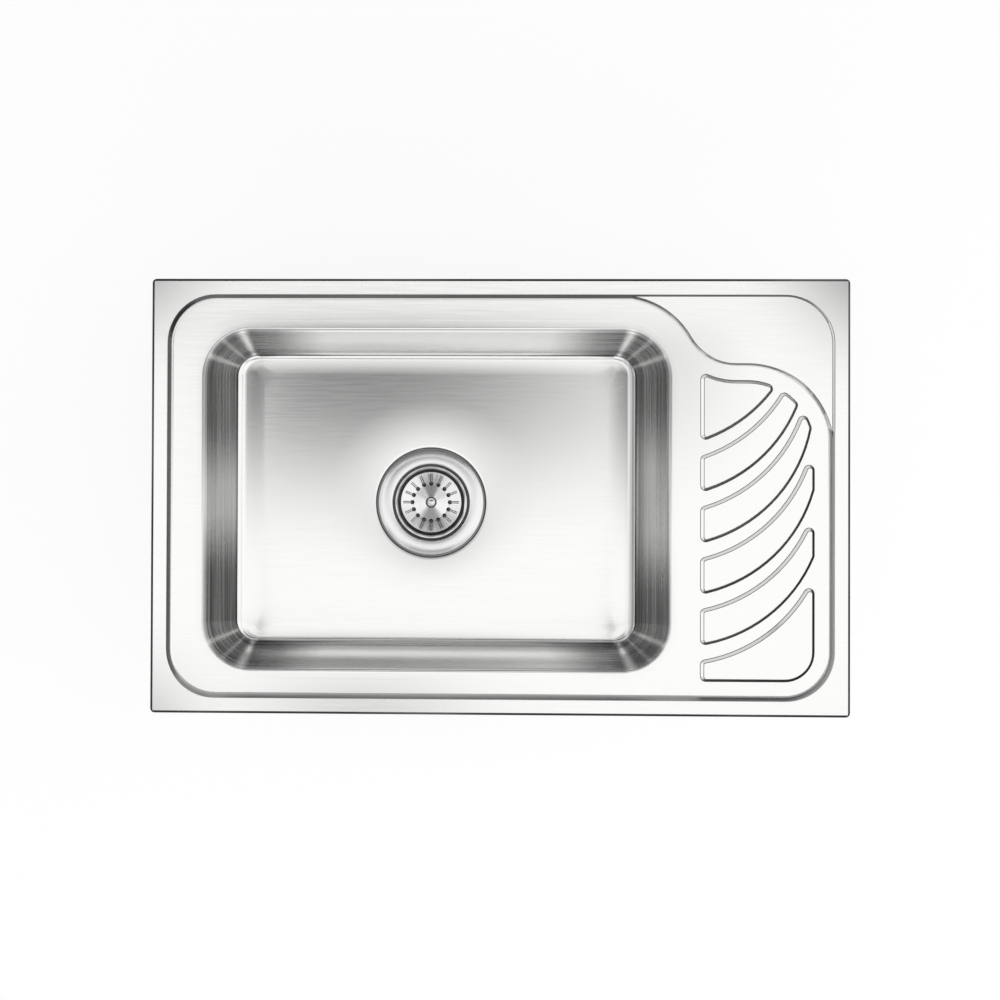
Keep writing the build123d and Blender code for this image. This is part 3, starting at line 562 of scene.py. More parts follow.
@dataclass
class Bowl:
    """The deep-drawn bowl: rounded rectangles drawn down from its flange, and a dished floor with the waste's seat.

    An end is the left or right wall, and a side the front or back one. Leans are in degrees. Tones are painted shade
    and run from 0, bright, to 1, darkest. A mark has its place, its width and how much it changes the painted shade:
    in the corners a mark is a painted streak highlight, partly standing for a draw mark, and on the front a painted
    dark band.
    """

    centre: Vector = Vector((-72.0, -4.0, 0.0)) * MM
    drain: Vector = Vector((*DRAIN, 0.0)) * MM
    width: float = 530 * MM
    length: float = 386 * MM
    corner: float = 52 * MM
    taper: float = 18 * MM
    least_corner: float = 9 * MM
    depth: float = 200 * MM
    draft: float = math.radians(2)
    roll: float = 10 * MM
    crease: Pair = (36.0, 80.0)
    end_radius: float = 26 * MM
    side_radius: float = 11 * MM
    dish: float = 24 * MM
    end_tilt: float = math.radians(8)
    side_tilt: float = math.radians(5.5)
    flange: float = 14 * MM
    lap: float = 0.6 * MM
    lap_drop: float = 0.02 * MM
    top: float = 1.5 * MM
    sheet: float = 1 * MM
    fall_radius: float = 140 * MM
    fall: float = 1.6 * MM
    seat_radius: float = 71 * MM
    seat_top: float = -204.5 * MM
    seat_edge: tuple[Pair, ...] = ((1.6 * MM, 0.0), (0.8 * MM, 0.25 * MM), (0.3 * MM, 0.9 * MM))
    seat_lean: float = 0.2 * MM
    hole: float = 55.5 * MM
    corner_steps: int = 32
    side_steps: int = 15
    bend_steps: int = 24
    wall_rings: int = 24
    dish_rings: int = 6
    fall_rings: int = 24
    fall_steps: int = 128
    straight: float = 0.999
    # Painted shade in place of reflections: on the mouth's roll, the walls' unlit feet, the waste's seat, the ends
    # towards their corners, the front and back towards their ends and the corners, with painted streak highlights in
    # the corners.
    roll_leans: Pair = (-5, 30)
    wall_leans: Pair = (78, 88)
    foot_leans: Pair = (2, 20)
    foot_turns: Pair = (0.2, 0.8)
    foot_tone: float = 0.14
    foot_share: float = 0.4
    seat_tone: float = 0.8
    end_tone: float = 0.4
    end_back_gain: float = 0.36
    end_front_gain: float = 0.42
    left_span: Pair = (0.05, 0.65)
    right_span: Pair = (0.2, 0.85)
    back_tone: float = 0.1
    side_tone: float = 0.72
    side_span: Pair = (0.58, 1.0)
    corner_tone: float = 0.76
    draw_marks_and_highlights: tuple[Triple, ...] = ((0.86, 0.07, 0.66), (0.58, 0.03, 0.28), (0.3, 0.04, 0.36))
    front_lines: tuple[Triple, ...] = ((0.2, 0.06, 0.1), (0.66, 0.08, 0.12), (0.93, 0.05, 0.12))

    def bend(self, radius: float, start: float = 0.0) -> list[Triple]:
        """Draws a bend from nearly flat to the wall's lean, with a crease at its middle.

        Args:
            radius: the bend's radius where it turns slowly.
            start: its lean at the start, in radians.

        Returns:
            How far along the flat and how far off it each corner lies, and the lean there.
        """
        turn = math.pi / 2 - self.draft - start
        low, high = self.crease
        length = radius * turn / self.bend_steps
        corners = [(0.0, 0.0, math.degrees(start))]
        for i in range(self.bend_steps):
            lean = start + turn * (i + 0.5) / self.bend_steps
            if not low < math.degrees(lean) < high:
                along, off, _ = corners[-1]
                corners.append((along + length * math.cos(lean), off + length * math.sin(lean),
                                math.degrees(start + turn * (i + 1) / self.bend_steps)))
        return corners

    def profile(self, floor_radius: float, tilt: float) -> list[tuple[float, float, float, float]]:
        """Works out the wall's section from the flange to the floor.

        Args:
            floor_radius: the radius of the bend at the floor.
            tilt: how much the floor's dished edge leans where the bend starts, in radians.

        Returns:
            How far each ring stands out from the wall's line at the deck, its height, and its share of the wall's
            painted shade and of the foot's.
        """
        slope = math.tan(self.draft)
        roll = self.bend(self.roll)
        along, off, _ = roll[-1]
        out = along - off * slope
        section = [(self.flange + self.lap, self.top - self.lap_drop, 0, 0), (self.flange - self.lap, self.top, 0, 0)]
        section += [(out - a, self.top - o, smooth(lean, *self.roll_leans), 0) for a, o, lean in roll]
        rise = self.dish * math.tan(tilt) / 2
        foot = self.bend(floor_radius, tilt)
        along, off, _ = foot[-1]
        low = self.top - self.depth + rise
        out = -(self.depth - rise - off) * slope - along
        first, last = section[-1], (out + along, low + off, 1, 0)
        section += [tuple(a + (b - a) * i / self.wall_rings for a, b in zip(first, last))
                    for i in range(1, self.wall_rings)]
        section += [(out + a, low + o, self.foot_share * smooth(lean, *self.wall_leans),
                     smooth(lean, *self.foot_leans)) for a, o, lean in reversed(foot)]
        shares = [i / self.dish_rings for i in range(1, self.dish_rings + 1)]
        section += [(out - self.dish * s, low - rise * (1 - (1 - s) ** 2), 0, 0) for s in shares]
        return section

    def tone_at(self, spot: Vector, way: Vector, deep: float) -> float:
        """Paints shade on the wall: the middle of each side is left bright, the corners dark with painted streak
        highlights.

        Args:
            spot: the nearest corner's middle, or the place between two, as shares of the bowl's half sizes.
            way: which way the wall stands out there.
            deep: how deep the place is, as a share of the bowl's depth.

        Returns:
            The tone.
        """
        if abs(way.x) > self.straight:
            gain = self.end_back_gain if spot.y > 0 else self.end_front_gain
            return self.end_tone + gain * smooth(abs(spot.y), *(self.left_span if way.x < 0 else self.right_span))
        if abs(way.y) > self.straight:
            level = self.back_tone * (1 - deep)
            if way.y < 0:
                level = sum(gain * math.exp(-((deep - at) / width) ** 2) for at, width, gain in self.front_lines)
            return level + (self.side_tone - level) * smooth(abs(spot.x), *self.side_span)
        share = math.atan2(abs(way.y), abs(way.x)) / (math.pi / 2)
        painted_shade = self.corner_tone
        for at, width, gain in self.draw_marks_and_highlights:
            painted_shade -= gain * math.exp(-((share - at) / width) ** 2)
        return max(painted_shade, 0.0)

    def outline(self, bm: BMesh, radius: float, z: float) -> list[BMEdge]:
        """Draws a rounded rectangle about the bowl's middle with spun corners and divided sides.

        Args:
            bm: where it is drawn.
            radius: its corners' radius.
            z: its height.

        Returns:
            Its edges.
        """
        x, y = self.width / 2 - self.corner, self.length / 2 - self.corner
        ends = []
        for i, (sx, sy) in enumerate(((1, 1), (-1, 1), (-1, -1), (1, -1))):
            middle = self.centre + Vector((sx * x, sy * y, z))
            first = bm.verts.new(middle + Matrix.Rotation(i * math.pi / 2, 3, "Z") @ Vector((radius, 0, 0)))
            arc = bmesh.ops.spin(bm, geom=[first], cent=middle, axis=(0, 0, 1), angle=math.pi / 2,
                                 steps=self.corner_steps, use_duplicate=False)
            ends.append((first, arc["geom_last"][0]))
        sides = [bm.edges.new((ends[i][1], ends[(i + 1) % 4][0])) for i in range(4)]
        bmesh.ops.subdivide_edges(bm, edges=sides, cuts=self.side_steps)
        return list(bm.edges)

    def lay_walls(self, bm: BMesh) -> list[BMEdge]:
        """Draws the walls down ring by ring from the flange and paints shade on them.

        Args:
            bm: where they are drawn.

        Returns:
            The edges of the floor's outline.
        """
        painted_shade = bm.verts.layers.float.new("painted_shade")
        spots = bm.verts.layers.float_vector.new("spot")
        ways = bm.verts.layers.float_vector.new("way")
        ends = self.profile(self.end_radius, self.end_tilt)
        sides = self.profile(self.side_radius, self.side_tilt)
        ring = self.outline(bm, self.corner + ends[0][0], ends[0][1])
        x, y = self.width / 2 - self.corner, self.length / 2 - self.corner
        for v in bm.verts:
            place = (v.co - self.centre).to_2d()
            middle = Vector((min(max(place.x, -x), x), min(max(place.y, -y), y)))
            v[spots] = (middle.x / x, middle.y / y, 0)
            v[ways] = (place - middle).normalized().to_3d()
        for (end_out, end_z, share, foot), (side_out, side_z, *_) in zip(ends[1:], sides[1:]):
            verts, ring = extrude_ring(bm, ring)
            deep = (self.top - (end_z + side_z) / 2) / self.depth
            radius = self.corner + (end_out + side_out) / 2 - self.taper * max(deep, 0.0)
            radius = max(radius, 2 * self.least_corner - radius)
            for v in verts:
                spot, way = v[spots], v[ways]
                v.co = self.centre + way * radius + Vector((
                    spot.x * (self.width / 2 + end_out - radius), spot.y * (self.length / 2 + side_out - radius),
                    end_z + (side_z - end_z) * way.y ** 2))
                # Painted shade on the wall, and on the foot where it turns from the light.
                unlit = smooth(max(way.x, -way.y), *self.foot_turns)
                v[painted_shade] = share * self.tone_at(spot, way, deep) + (1 - share) * foot * self.foot_tone * unlit
        bm.verts.layers.float_vector.remove(ways)
        bm.verts.layers.float_vector.remove(bm.verts.layers.float_vector["spot"])
        return ring

    def lay_floor(self, bm: BMesh, ring: list[BMEdge]) -> None:
        """Lays the floor round the drain, with its fall, and sinks the waste's seat, which gets painted shade.

        Args:
            bm: where it is laid.
            ring: the edges of the floor's outline.
        """
        floor = self.top - self.depth
        disc = bmesh.ops.create_circle(bm, cap_ends=False, radius=self.fall_radius, segments=self.fall_steps,
                                       matrix=Matrix.Translation(self.drain + Vector((0, 0, floor))))
        circle = list(dict.fromkeys(e for v in disc["verts"] for e in v.link_edges))
        bmesh.ops.triangle_fill(bm, use_beauty=True, use_dissolve=False, edges=ring + circle, normal=(0, 0, 1))
        painted_shade = bm.verts.layers.float["painted_shade"]
        low = floor - self.fall
        rim, *edge = [(self.seat_radius + out, low - down) for out, down in self.seat_edge]
        shares = [i / self.fall_rings for i in range(1, self.fall_rings + 1)]
        rings = [(self.fall_radius + (rim[0] - self.fall_radius) * s, floor - self.fall * s ** 2, 0.0) for s in shares]
        seat = [*edge, (self.seat_radius - self.seat_lean, self.seat_top), (self.hole, self.seat_top)]
        rings += [(radius, z, self.seat_tone) for radius, z in seat]
        for radius, z, level in rings:
            verts, circle = extrude_ring(bm, circle)
            for v in verts:
                way = (v.co - self.drain).to_2d().normalized().to_3d()
                v.co = self.drain + way * radius + Vector((0, 0, z))
                v[painted_shade] = level

    def build(self, material: Material, outside: Material) -> None:
        """Draws the walls and the floor and gives the sheet its thickness.

        Args:
            material: the sheet's finish.
            outside: the unpolished sheet's finish.
        """
        bm = bmesh.new()
        self.lay_floor(bm, self.lay_walls(bm))
        bmesh.ops.recalc_face_normals(bm, faces=bm.faces)
        if sum(f.normal.z * f.calc_area() for f in bm.faces) < 0:
            bmesh.ops.reverse_faces(bm, faces=bm.faces)
        piece = finish_piece(bm, "drawn_bowl", material, "sink", ("bowl",), 38.0)
        wall = piece.modifiers.new("sheet", "SOLIDIFY")
        wall.thickness = self.sheet
        wall.offset = -1
        wall.use_even_offset = True
        wall.material_offset = 1
        piece.data.materials.append(outside)
        level_normals(piece)


@dataclass
class Eased:
    """A piece kept from the CAD solid, with its corners eased."""

    node: str
    ease: float
    body: str
    slot: Slot
    crease_angle: float = math.radians(25)

    def shape(self, bm: BMesh) -> None:
        """Leaves the eased solid as it is."""

    def build(self, material: Material) -> None:
        """Eases the corners of a merged copy of the CAD solid.

        Args:
            material: its finish.
        """
        bm = merged_copy(self.node)
        round_off(bm, creases(bm, self.crease_angle), self.ease)
        self.shape(bm)
        level_normals(finish_piece(bm, "eased_" + self.node, material, self.body, (self.node,), 40.0))


@dataclass
class Basket(Eased):
    """The strainer basket, with its hub drawn up to the knob and painted shade on its steep wall."""

    axis: Vector = Vector((*DRAIN, 0.0)) * MM
    hub_radius: float = 22 * MM
    hub_rise: float = 1.3 * MM
    wall: float = 38 * MM
    lip: Pair = (43 * MM, 47.5 * MM)
    wall_leans: Pair = (0.5, 0.9)
    wall_tone: float = 0.9
    back_sheen: Pair = (0.85, 0.98)
    front_sheen: Pair = (0.65, 0.98)
    sheen_tone: float = 0.5

    def shape(self, bm: BMesh) -> None:
        """Raises the hub, paints shade on the wall and a darker reflection on the dish's front and back, and lays the
        rings map.

        Args:
            bm: the basket's shape.
        """
        bm.normal_update()
        # Painted shade on the steep wall and the lip, and a painted reflection in wedges on the dish's front and back.
        painted_shade = bm.verts.layers.float.new("painted_shade")
        for v in bm.verts:
            place = (v.co - self.axis).to_2d()
            if place.length > self.lip[0] and v.normal.z > 0:
                v[painted_shade] = self.wall_tone * (1 - smooth(place.length, *self.lip))
            elif place.length > self.wall:
                inward = v.normal.to_2d().dot(place) < 0
                v[painted_shade] = self.wall_tone * (1 - smooth(v.normal.z, *self.wall_leans)) if inward else 0.0
            else:
                sheen = self.back_sheen if place.y > 0 else self.front_sheen
                v[painted_shade] = self.sheen_tone * smooth(abs(place.y) / place.length, *sheen)
            v.co.z += self.hub_rise * max(0.0, 1 - place.length / self.hub_radius)
        bm.normal_update()
        lay_rings(bm, self.axis)


@dataclass
class Waste:
    """The flanged waste: a spun body with a domed flange, a threaded outlet and a spider for the stem.

    Sizes are in millimetres from the axis and from the flange's underside. The lip's roll is given from its edge.
    """

    axis: Vector = Vector((*DRAIN, -203.0)) * MM
    flange: float = 69.5
    flange_cut: Pair = (0.2, 0.15)
    crest: float = 57.0
    crown: float = 1.7
    dome_end: float = 55.0
    dome_rings: int = 10
    lip: float = 49.8
    lip_roll: tuple[Pair, ...] = ((2.2, 1.55), (0.8, 1.1), (0.1, 0.2), (0.0, -1.0), (0.4, -2.2))
    lip_foot: float = 3.2
    sleeve: Triple = (51.5, 54.0, 24.0)
    shelf: float = 20.0
    cup: Triple = (44.5, 46.5, 50.0)
    cup_fall: Pair = (24.0, 2.0)
    collar: Triple = (52.0, 56.0, 57.0)
    outlet: Triple = (20.5, 23.9, 87.0)
    thread_start: float = 60.0
    thread_depth: float = 0.9
    thread_half: float = 0.8
    thread_pitch: float = 2.6
    thread_turns: int = 9
    thread_steps: int = 48
    spider: Pair = (60.0, 63.0)
    spider_hub: Pair = (4.2, 8.0)
    arm_count: int = 3
    arm_width: float = 3.0
    arm_hold: float = 1.0
    overlap: float = 0.1
    ease: float = 0.35
    crease_angle: float = math.radians(28)
    steps: int = 128
    inside_top: float = 1.2
    inside_tone: float = 0.85
    edge_width: float = 1.5
    edge_tone: float = 0.7

    def section(self) -> list[Pair]:
        """Draws the body's section from the flange's foot over its crown and down the inside.

        Returns:
            The radius and height of each corner.
        """
        inner, outer, deep = self.sleeve
        cup, cup_out, cup_deep = self.cup
        bore, thread, end = self.outlet
        core = thread - self.thread_depth
        reach = self.dome_end - self.flange
        radii = [self.flange + reach * (i + 1) / self.dome_rings for i in range(self.dome_rings)]
        dome = [(r, self.crown * (1 - ((r - self.crest) / (self.flange - self.crest)) ** 2)) for r in radii]
        lip = [(self.lip + out, z) for out, z in self.lip_roll]
        return [(outer, 0), (self.flange - self.flange_cut[0], 0), (self.flange, self.flange_cut[1]), *dome, *lip,
                (inner, -self.lip_foot), (inner, -self.shelf), (cup, -self.shelf), (cup, -cup_deep + self.cup_fall[1]),
                (self.cup_fall[0], -cup_deep), (bore, -cup_deep), (bore, -end), (core, -end), (core, -self.collar[2]),
                (thread, -self.collar[1]), (thread, -self.collar[0]), (cup_out, -cup_deep), (cup_out, -deep),
                (outer, -deep)]

    def spun(self, bm: BMesh, corners: list[Pair]) -> None:
        """Spins a closed section once round the axis.

        Args:
            bm: where it is spun.
            corners: the section's radii and heights.
        """
        verts = [bm.verts.new(self.axis + Vector((r, 0, z)) * MM) for r, z in corners]
        edges = [bm.edges.new((verts[i - 1], verts[i])) for i in range(len(verts))]
        bmesh.ops.spin(bm, geom=verts + edges, cent=self.axis, axis=(0, 0, 1), dvec=(0, 0, 0), angle=math.tau,
                       steps=self.steps, use_merge=True, use_duplicate=False)

    def arms(self, bm: BMesh) -> None:
        """Sets the spider's arms from its hub to the outlet's wall.

        Args:
            bm: where they are set.
        """
        top, low = self.spider
        hub = (self.spider_hub[0] + self.spider_hub[1]) / 2
        reach = self.outlet[0] + self.arm_hold - hub
        for i in range(self.arm_count):
            place = (Matrix.Translation(self.axis) @ Matrix.Rotation(i * math.tau / self.arm_count, 4, "Z")
                     @ Matrix.Translation(Vector((hub + reach / 2, 0, -(top + low) / 2)) * MM)
                     @ Matrix.Diagonal((reach * MM, self.arm_width * MM, (low - top) * MM, 1)))
            bmesh.ops.create_cube(bm, size=1.0, matrix=place)

    def build(self, material: Material) -> None:
        """Spins the body, rounds its corners, cuts the thread and paints shade inside it and on the flange's edge.

        Args:
            material: the spun metal.
        """
        bm = bmesh.new()
        self.spun(bm, self.section())
        top, low = self.spider
        inner, outer = self.spider_hub
        self.spun(bm, [(inner, -top), (outer, -top), (outer, -low), (inner, -low)])
        self.arms(bm)
        bmesh.ops.remove_doubles(bm, verts=bm.verts, dist=1e-7)
        bmesh.ops.recalc_face_normals(bm, faces=bm.faces)
        round_off(bm, creases(bm, self.crease_angle), self.ease * MM)
        crest = self.outlet[1]
        root = crest - self.thread_depth - self.overlap
        wind_thread(bm, self.axis + Vector((0, 0, -self.thread_start * MM)), root * MM, crest * MM,
                    self.thread_half * MM, -self.thread_pitch * MM, self.thread_turns, self.thread_steps)
        bm.normal_update()
        # Painted shade inside the sleeve and the cup, and a painted dark line round the flange's edge.
        painted_shade = bm.faces.layers.float.new("painted_shade")
        for face in bm.faces:
            place = (face.calc_center_median() - self.axis) / MM
            away = place.to_2d().length
            if away < self.sleeve[0] + self.overlap and -self.cup[2] < place.z < -self.inside_top:
                face[painted_shade] = self.inside_tone
            elif away > self.flange - self.edge_width and place.z > 0:
                face[painted_shade] = self.edge_tone
        lay_rings(bm, self.axis)
        level_normals(finish_piece(bm, "spun_waste", material, "sink", ("waste_body",), 40.0))


@dataclass
class Screw(Eased):
    """A slotted clamp screw with its shank cut to a thread."""

    neck: float = -56.0 * MM
    end: float = -20.9 * MM
    plain: float = 1.5 * MM
    root: float = 2.1 * MM
    crest: float = 2.5 * MM
    half: float = 0.34 * MM
    overlap: float = 0.05 * MM
    pitch: float = 0.8 * MM

    def shape(self, bm: BMesh) -> None:
        """Slims the shank to the thread's root and winds the thread up it.

        Args:
            bm: the screw's shape.
        """
        spots = [v.co.to_2d() for v in bm.verts]
        axis = Vector([(max(s[i] for s in spots) + min(s[i] for s in spots)) / 2 for i in range(2)])
        for v in bm.verts:
            if v.co.z > self.neck:
                v.co.xy = axis + (v.co.to_2d() - axis) * (self.root / self.crest)
        start = self.neck + self.plain
        wind_thread(bm, Vector((*axis, start)), self.root - self.overlap, self.crest, self.half, self.pitch,
                    int((self.end - start) / self.pitch))
        bm.normal_update()


@dataclass
class Clips:
    """The worktop clips: six claws with their screws, on brackets that hang in four rails."""

    rails: tuple[str, ...] = ("front", "back", "left", "right")
    clips: tuple[str, ...] = ("front_left", "front_right", "back_left", "back_right", "left", "right")

    def build(self, material: Material) -> None:
        """Eases the pressed pieces and cuts the screws.

        Args:
            material: the plated steel.
        """
        for side in self.rails:
            Eased(side + "_clip_rail", 0.3 * MM, "sink", Slot.ZINC).build(material)
        Eased("clip_brackets", 0.3 * MM, "sink", Slot.ZINC).build(material)
        for clip in self.clips:
            Eased(clip + "_claw", 0.4 * MM, clip + "_claw", Slot.ZINC).build(material)
            Screw(clip + "_screw", 0.2 * MM, clip + "_screw", Slot.ZINC).build(material)


class Facing(Enum):
    """Which way a studio card lies or stands."""

    DOWN = (0, 0, 0)
    SIDEWAYS = (0, math.pi / 2, 0)
    LENGTHWAYS = (math.pi / 2, 0, 0)


@dataclass(frozen=True)
class Card:
    """A studio card that only the object sees: a lit cloth, a flag, or a net that is densest at one spot."""

    name: str
    middle: Triple
    size: Pair
    level: float
    facing: Facing = Facing.DOWN
    cover: float = 1.0
    spot: Pair | None = None
    reach: Pair = (1.0, 1.0)

    def material(self) -> Material:
        """Builds the card's cloth: its own light, and for a net how much it covers.

        Returns:
            The material.
        """
        material, tree = new_material(self.name + "_cloth")
        shader = add_node(tree, "Emission", {"Color": WHITE, "Strength": self.level}).outputs[0]
        if self.spot:
            place = add_node(tree, "TexCoord")
            near = add_node(tree, "Mapping", {
                "Vector": place.outputs["Object"],
                "Location": (-self.spot[0] / self.reach[0], -self.spot[1] / self.reach[1], 0),
                "Scale": (1 / self.reach[0], 1 / self.reach[1], 0)})
            away = add_node(tree, "VectorMath", {0: near.outputs["Vector"]}, operation="LENGTH")
            share = add_node(tree, "MapRange", {
                "Value": away.outputs["Value"], "To Min": self.cover, "To Max": 0.0}, interpolation_type="SMOOTHSTEP")
            clear = add_node(tree, "BsdfTransparent")
            shader = add_node(tree, "MixShader", {
                0: share.outputs["Result"], 1: clear.outputs[0], 2: shader}).outputs[0]
        add_node(tree, "OutputMaterial", {"Surface": shader})
        return material

    def build(self) -> None:
        """Hangs or stands the card in its place."""
        bm = bmesh.new()
        bmesh.ops.create_grid(bm, x_segments=1, y_segments=1, size=0.5)
        place = Matrix.Translation(self.middle) @ Euler(self.facing.value).to_matrix().to_4x4()
        bmesh.ops.transform(bm, matrix=place @ Matrix.Diagonal((*self.size, 1, 1)), verts=bm.verts)
        card = place_object(bm, self.name, self.material())
        card.visible_camera = False


@dataclass
class Studio:
    """The pale floor, the overhead softbox with its nets, the flags and the camera, in metres."""

    floor_gap: float = 0.5 * MM
    floor_radius: float = 9.0
    floor_steps: int = 64
    floor_colour: str = "8a8a8a"
    floor_glow: float = 0.83
    air: float = 0.945
    air_light: float = 0.3
    eye: Triple = (-0.0747, 0.0070, 1.4882)
    eye_turn: Vector = Vector((0.00916, 0.02089, 0.00381))
    film_mm: float = 36.0
    focal_ratio: float = 1.292
    shift: Pair = (0.0933, -0.0216)
    sight: float = 50.0
    cards: tuple[Card, ...] = (
        Card("softbox", (0.14, -0.03, 2.20), (2.5, 1.46), 1.38),
        Card("bowl_net", (0.06, 0.10, 2.19), (1.44, 0.74), 0.06, cover=0.9, spot=(-0.3, 0.44), reach=(1.4, 0.66)),
        Card("back_left_net", (-0.85, 0.60, 2.18), (0.6, 0.6), 0.1, cover=0.95, spot=(-1.02, 0.74), reach=(0.44, 0.44)),
        Card("back_right_net", (1.15, 0.60, 2.18), (0.6, 0.6), 0.1, cover=1.0, spot=(1.24, 0.74), reach=(0.48, 0.48)),
        Card("front_left_net", (-0.85, -0.6, 2.18), (0.6, 0.6), 0.1, cover=0.8, spot=(-1.02, -0.76), reach=(0.4, 0.4)),
        Card("front_net", (-0.3, -0.60, 2.17), (1.0, 0.2), 0.1, cover=0.5, spot=(-0.28, -0.60), reach=(0.5, 0.1)),
        Card("back_flag", (0.0, 1.10, 2.2), (2.4, 0.7), 0.2),
        Card("front_flag", (-0.1, -0.93, 2.2), (0.9, 0.34), 0.3),
        Card("right_flag", (2.0, -0.4, 0.1), (0.8, 3.2), 0.4, Facing.SIDEWAYS),
        Card("front_low_flag", (0.55, -2.0, 0.1), (2.9, 0.8), 0.4, Facing.LENGTHWAYS),
        Card("left_card", (-2.0, 0.0, 0.85), (0.8, 1.6), 1.35, Facing.SIDEWAYS),
        Card("left_flag", (-2.0, 0.0, 1.75), (0.9, 2.4), 0.45, Facing.SIDEWAYS),
        Card("back_high_flag", (0.0, 2.0, 1.55), (2.4, 1.1), 0.45, Facing.LENGTHWAYS),
        Card("right_softbox", (2.0, -0.1, 1.65), (2.1, 2.6), 1.35, Facing.SIDEWAYS),
        Card("front_softbox", (0.1, -2.0, 1.65), (2.8, 2.1), 1.35, Facing.LENGTHWAYS),
    )

    def seen_by_eye(self, tree: NodeTree) -> NodeSocket:
        """Tells the rays that show the background: straight, mirrored or through glass.

        Args:
            tree: the material's or world's node tree.

        Returns:
            1 for such a ray and 0 for any other.
        """
        path = add_node(tree, "LightPath")
        every = path.outputs["Is Camera Ray"]
        for ray in ("Is Glossy Ray", "Is Transmission Ray"):
            every = add_node(tree, "Math", {0: every, 1: path.outputs[ray]}, operation="MAXIMUM").outputs[0]
        return every

    def lay_floor(self) -> None:
        """Lays the pale floor just under the waste's outlet."""
        material, tree = new_material("pale_studio_paper")
        plain = add_node(tree, "BsdfDiffuse", {"Color": linear(self.floor_colour)})
        level = add_node(tree, "Math", {0: self.seen_by_eye(tree), 1: self.floor_glow}, operation="MULTIPLY")
        glow = add_node(tree, "Emission", {"Color": WHITE, "Strength": level.outputs[0]})
        both = add_node(tree, "AddShader", {0: plain.outputs[0], 1: glow.outputs[0]})
        add_node(tree, "OutputMaterial", {"Surface": both.outputs[0]})
        bm = bmesh.new()
        bmesh.ops.create_circle(bm, cap_ends=True, radius=self.floor_radius, segments=self.floor_steps,
                                matrix=Matrix.Translation((0, 0, CAD_BOX[0][2] - self.floor_gap)))
        floor = place_object(bm, "studio_floor", material)

    def light(self) -> None:
        """Hangs the softbox, the nets and the flags, and sets the world's level."""
        for card in self.cards:
            card.build()
        world = bpy.data.worlds.new("studio_air")
        bpy.context.scene.world = world
        world.use_nodes = True
        tree = world.node_tree
        tree.nodes.clear()
        level = add_node(tree, "MapRange", {
            "Value": self.seen_by_eye(tree), "To Min": self.air_light, "To Max": self.air})
        air = add_node(tree, "Background", {"Color": WHITE, "Strength": level.outputs["Result"]})
        add_node(tree, "OutputWorld", {"Surface": air.outputs[0]})

    def aim_camera(self) -> None:
        """Sets the camera over the sink as the photograph has it, looking down with a slight tilt."""
        lens = bpy.data.cameras.new("overhead_camera")
        lens.sensor_width = self.film_mm
        lens.lens = self.film_mm * self.focal_ratio
        lens.shift_x, lens.shift_y = self.shift
        lens.clip_end = self.sight
        camera = bpy.data.objects.new("overhead_camera", lens)
        bpy.context.scene.collection.objects.link(camera)
        camera.matrix_world = Matrix.Translation(self.eye) @ Matrix.Rotation(
            self.eye_turn.length, 4, self.eye_turn.normalized())
        bpy.context.scene.camera = camera


def dress_nodes(materials: dict[Slot, Material]) -> None:
    """Gives each CAD node that shows its finish by its slot.

    Args:
        materials: the finish for each slot.
    """
    slot_of = {s["node"]: Slot(s["material_slot"]) for s in frame["record"]["subparts"]}
    for name, node in frame["nodes"].items():
        node.data.materials.clear()
        node.data.materials.append(materials[slot_of[name]])
        LOG.info("%s: CAD shape with %s", name, materials[slot_of[name]].name)


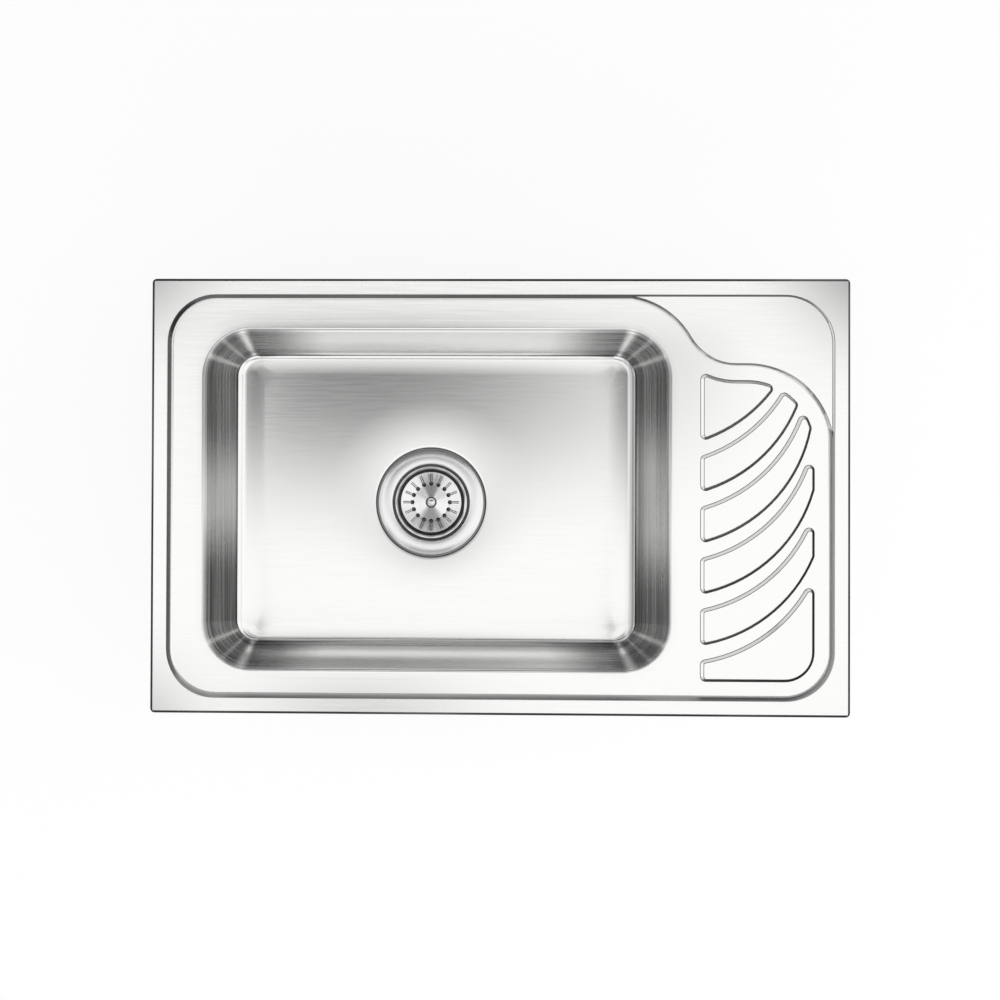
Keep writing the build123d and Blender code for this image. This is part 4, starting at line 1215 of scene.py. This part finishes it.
def main() -> None:
    """Builds the pieces, dresses them and sets the studio."""
    logging.basicConfig(level=logging.INFO, format="%(name)s %(message)s")
    bpy.context.scene.view_settings.view_transform = "Standard"
    finishes = {
        # Cold-rolled stainless steel, polished: soft mirror images, faint rolling lines, and painted shade in its bends
        # and walls in place of dark reflections. The real lines are about 0.05 mm apart and are drawn coarser so that
        # they show.
        Slot.SHEET: Metal("polished_sheet_steel", "dcdcdb", "3c3c3c", 0.13, 0.02, (60, 1.2, 1.2), 0.001, mottle=0.015,
                          streak=0.15),
        # Stainless steel spun on a lathe: fine rings, highlights that fan out from the axis, and painted shade inside
        # the waste, on its flange's edge and on the basket's wall.
        Slot.SPUN: Metal("spun_steel", "d8d8d8", "3c3c3c", 0.17, 0.03, (0.8, 1, 0.8), 0.002, mottle=0.03, axis_mm=DRAIN,
                         stretch=0.6),
        # Turned and chromed brass: the sharpest and brightest mirror on the sink.
        Slot.KNOB: Metal("chromed_knob", "d6d6d8", "8a8a8c", 0.08, 0.02, (2, 2, 2), 0.001),
        # Pressed mild steel, zinc plated: a bluish grey with cloudy patches and a blurred shine.
        Slot.ZINC: Metal("zinc_plated_steel", "b9bdc1", "8d9196", 0.34, 0.08, (6, 6, 6), 0.01, mottle=0.6),
        # Closed-cell foam strip: near black, with a fine skin of cells and no shine.
        Slot.FOAM: Coat("closed_cell_foam", "1b1b1c", "2c2c2d", 0.85, 0.8, 0.15),
        # Bitumen sheet: charcoal, matt and slightly pebbled.
        Slot.BITUMEN: Coat("bitumen_sound_pad", "1d1d1d", "343434", 0.8, 1.6, 0.25),
        # Moulded nitrile rubber: black, with a dull, nearly even skin.
        Slot.RUBBER: Coat("black_rubber", "0c0c0c", "161616", 0.8, 1.0, 0.03),
        # Pressed vulcanised fibre: brown card with a felted grain.
        Slot.FIBRE: Coat("pressed_fibre", "6d5a44", "8d775c", 0.9, 0.9, 0.05),
        # Moulded nylon: off-white, with a satin shine and a faint flow of the melt.
        Slot.NYLON: Coat("moulded_nylon", "d8d6cf", "e6e4de", 0.45, 1.4, 0.02),
    }
    # Stainless steel as it left the rolling mill: paler and more blurred than the polished side, with rolling lines.
    mill = Metal("mill_finish_steel", "c4c4c3", "a9a9a8", 0.3, 0.05, (60, 1.2, 1.2), 0.002, toned=False)
    materials = {slot: finish.material() for slot, finish in finishes.items()}
    dress_nodes(materials)
    Deck().build(materials[Slot.SHEET])
    Bowl().build(materials[Slot.SHEET], mill.material())
    Waste().build(materials[Slot.SPUN])
    fittings = (
        Basket("strainer_basket", 0.25 * MM, "basket", Slot.SPUN),
        Eased("basket_knob", 0.5 * MM, "basket", Slot.KNOB),
        Eased("stopper", 0.5 * MM, "basket", Slot.RUBBER),
        Eased("stem_catch", 0.3 * MM, "basket", Slot.NYLON),
        Eased("lock_nut", 0.6 * MM, "sink", Slot.NYLON),
        Eased("under_gasket", 0.5 * MM, "sink", Slot.RUBBER),
        Eased("drainer_stiffener", 0.4 * MM, "sink", Slot.ZINC),
        Eased("wall_sound_pads", 0.6 * MM, "sink", Slot.BITUMEN),
        Eased("floor_sound_pads", 0.6 * MM, "sink", Slot.BITUMEN),
    )
    for fitting in fittings:
        fitting.build(materials[fitting.slot])
    Clips().build(materials[Slot.ZINC])
    studio = Studio()
    studio.lay_floor()
    studio.light()
    studio.aim_camera()


if __name__ == "__main__":
    main()
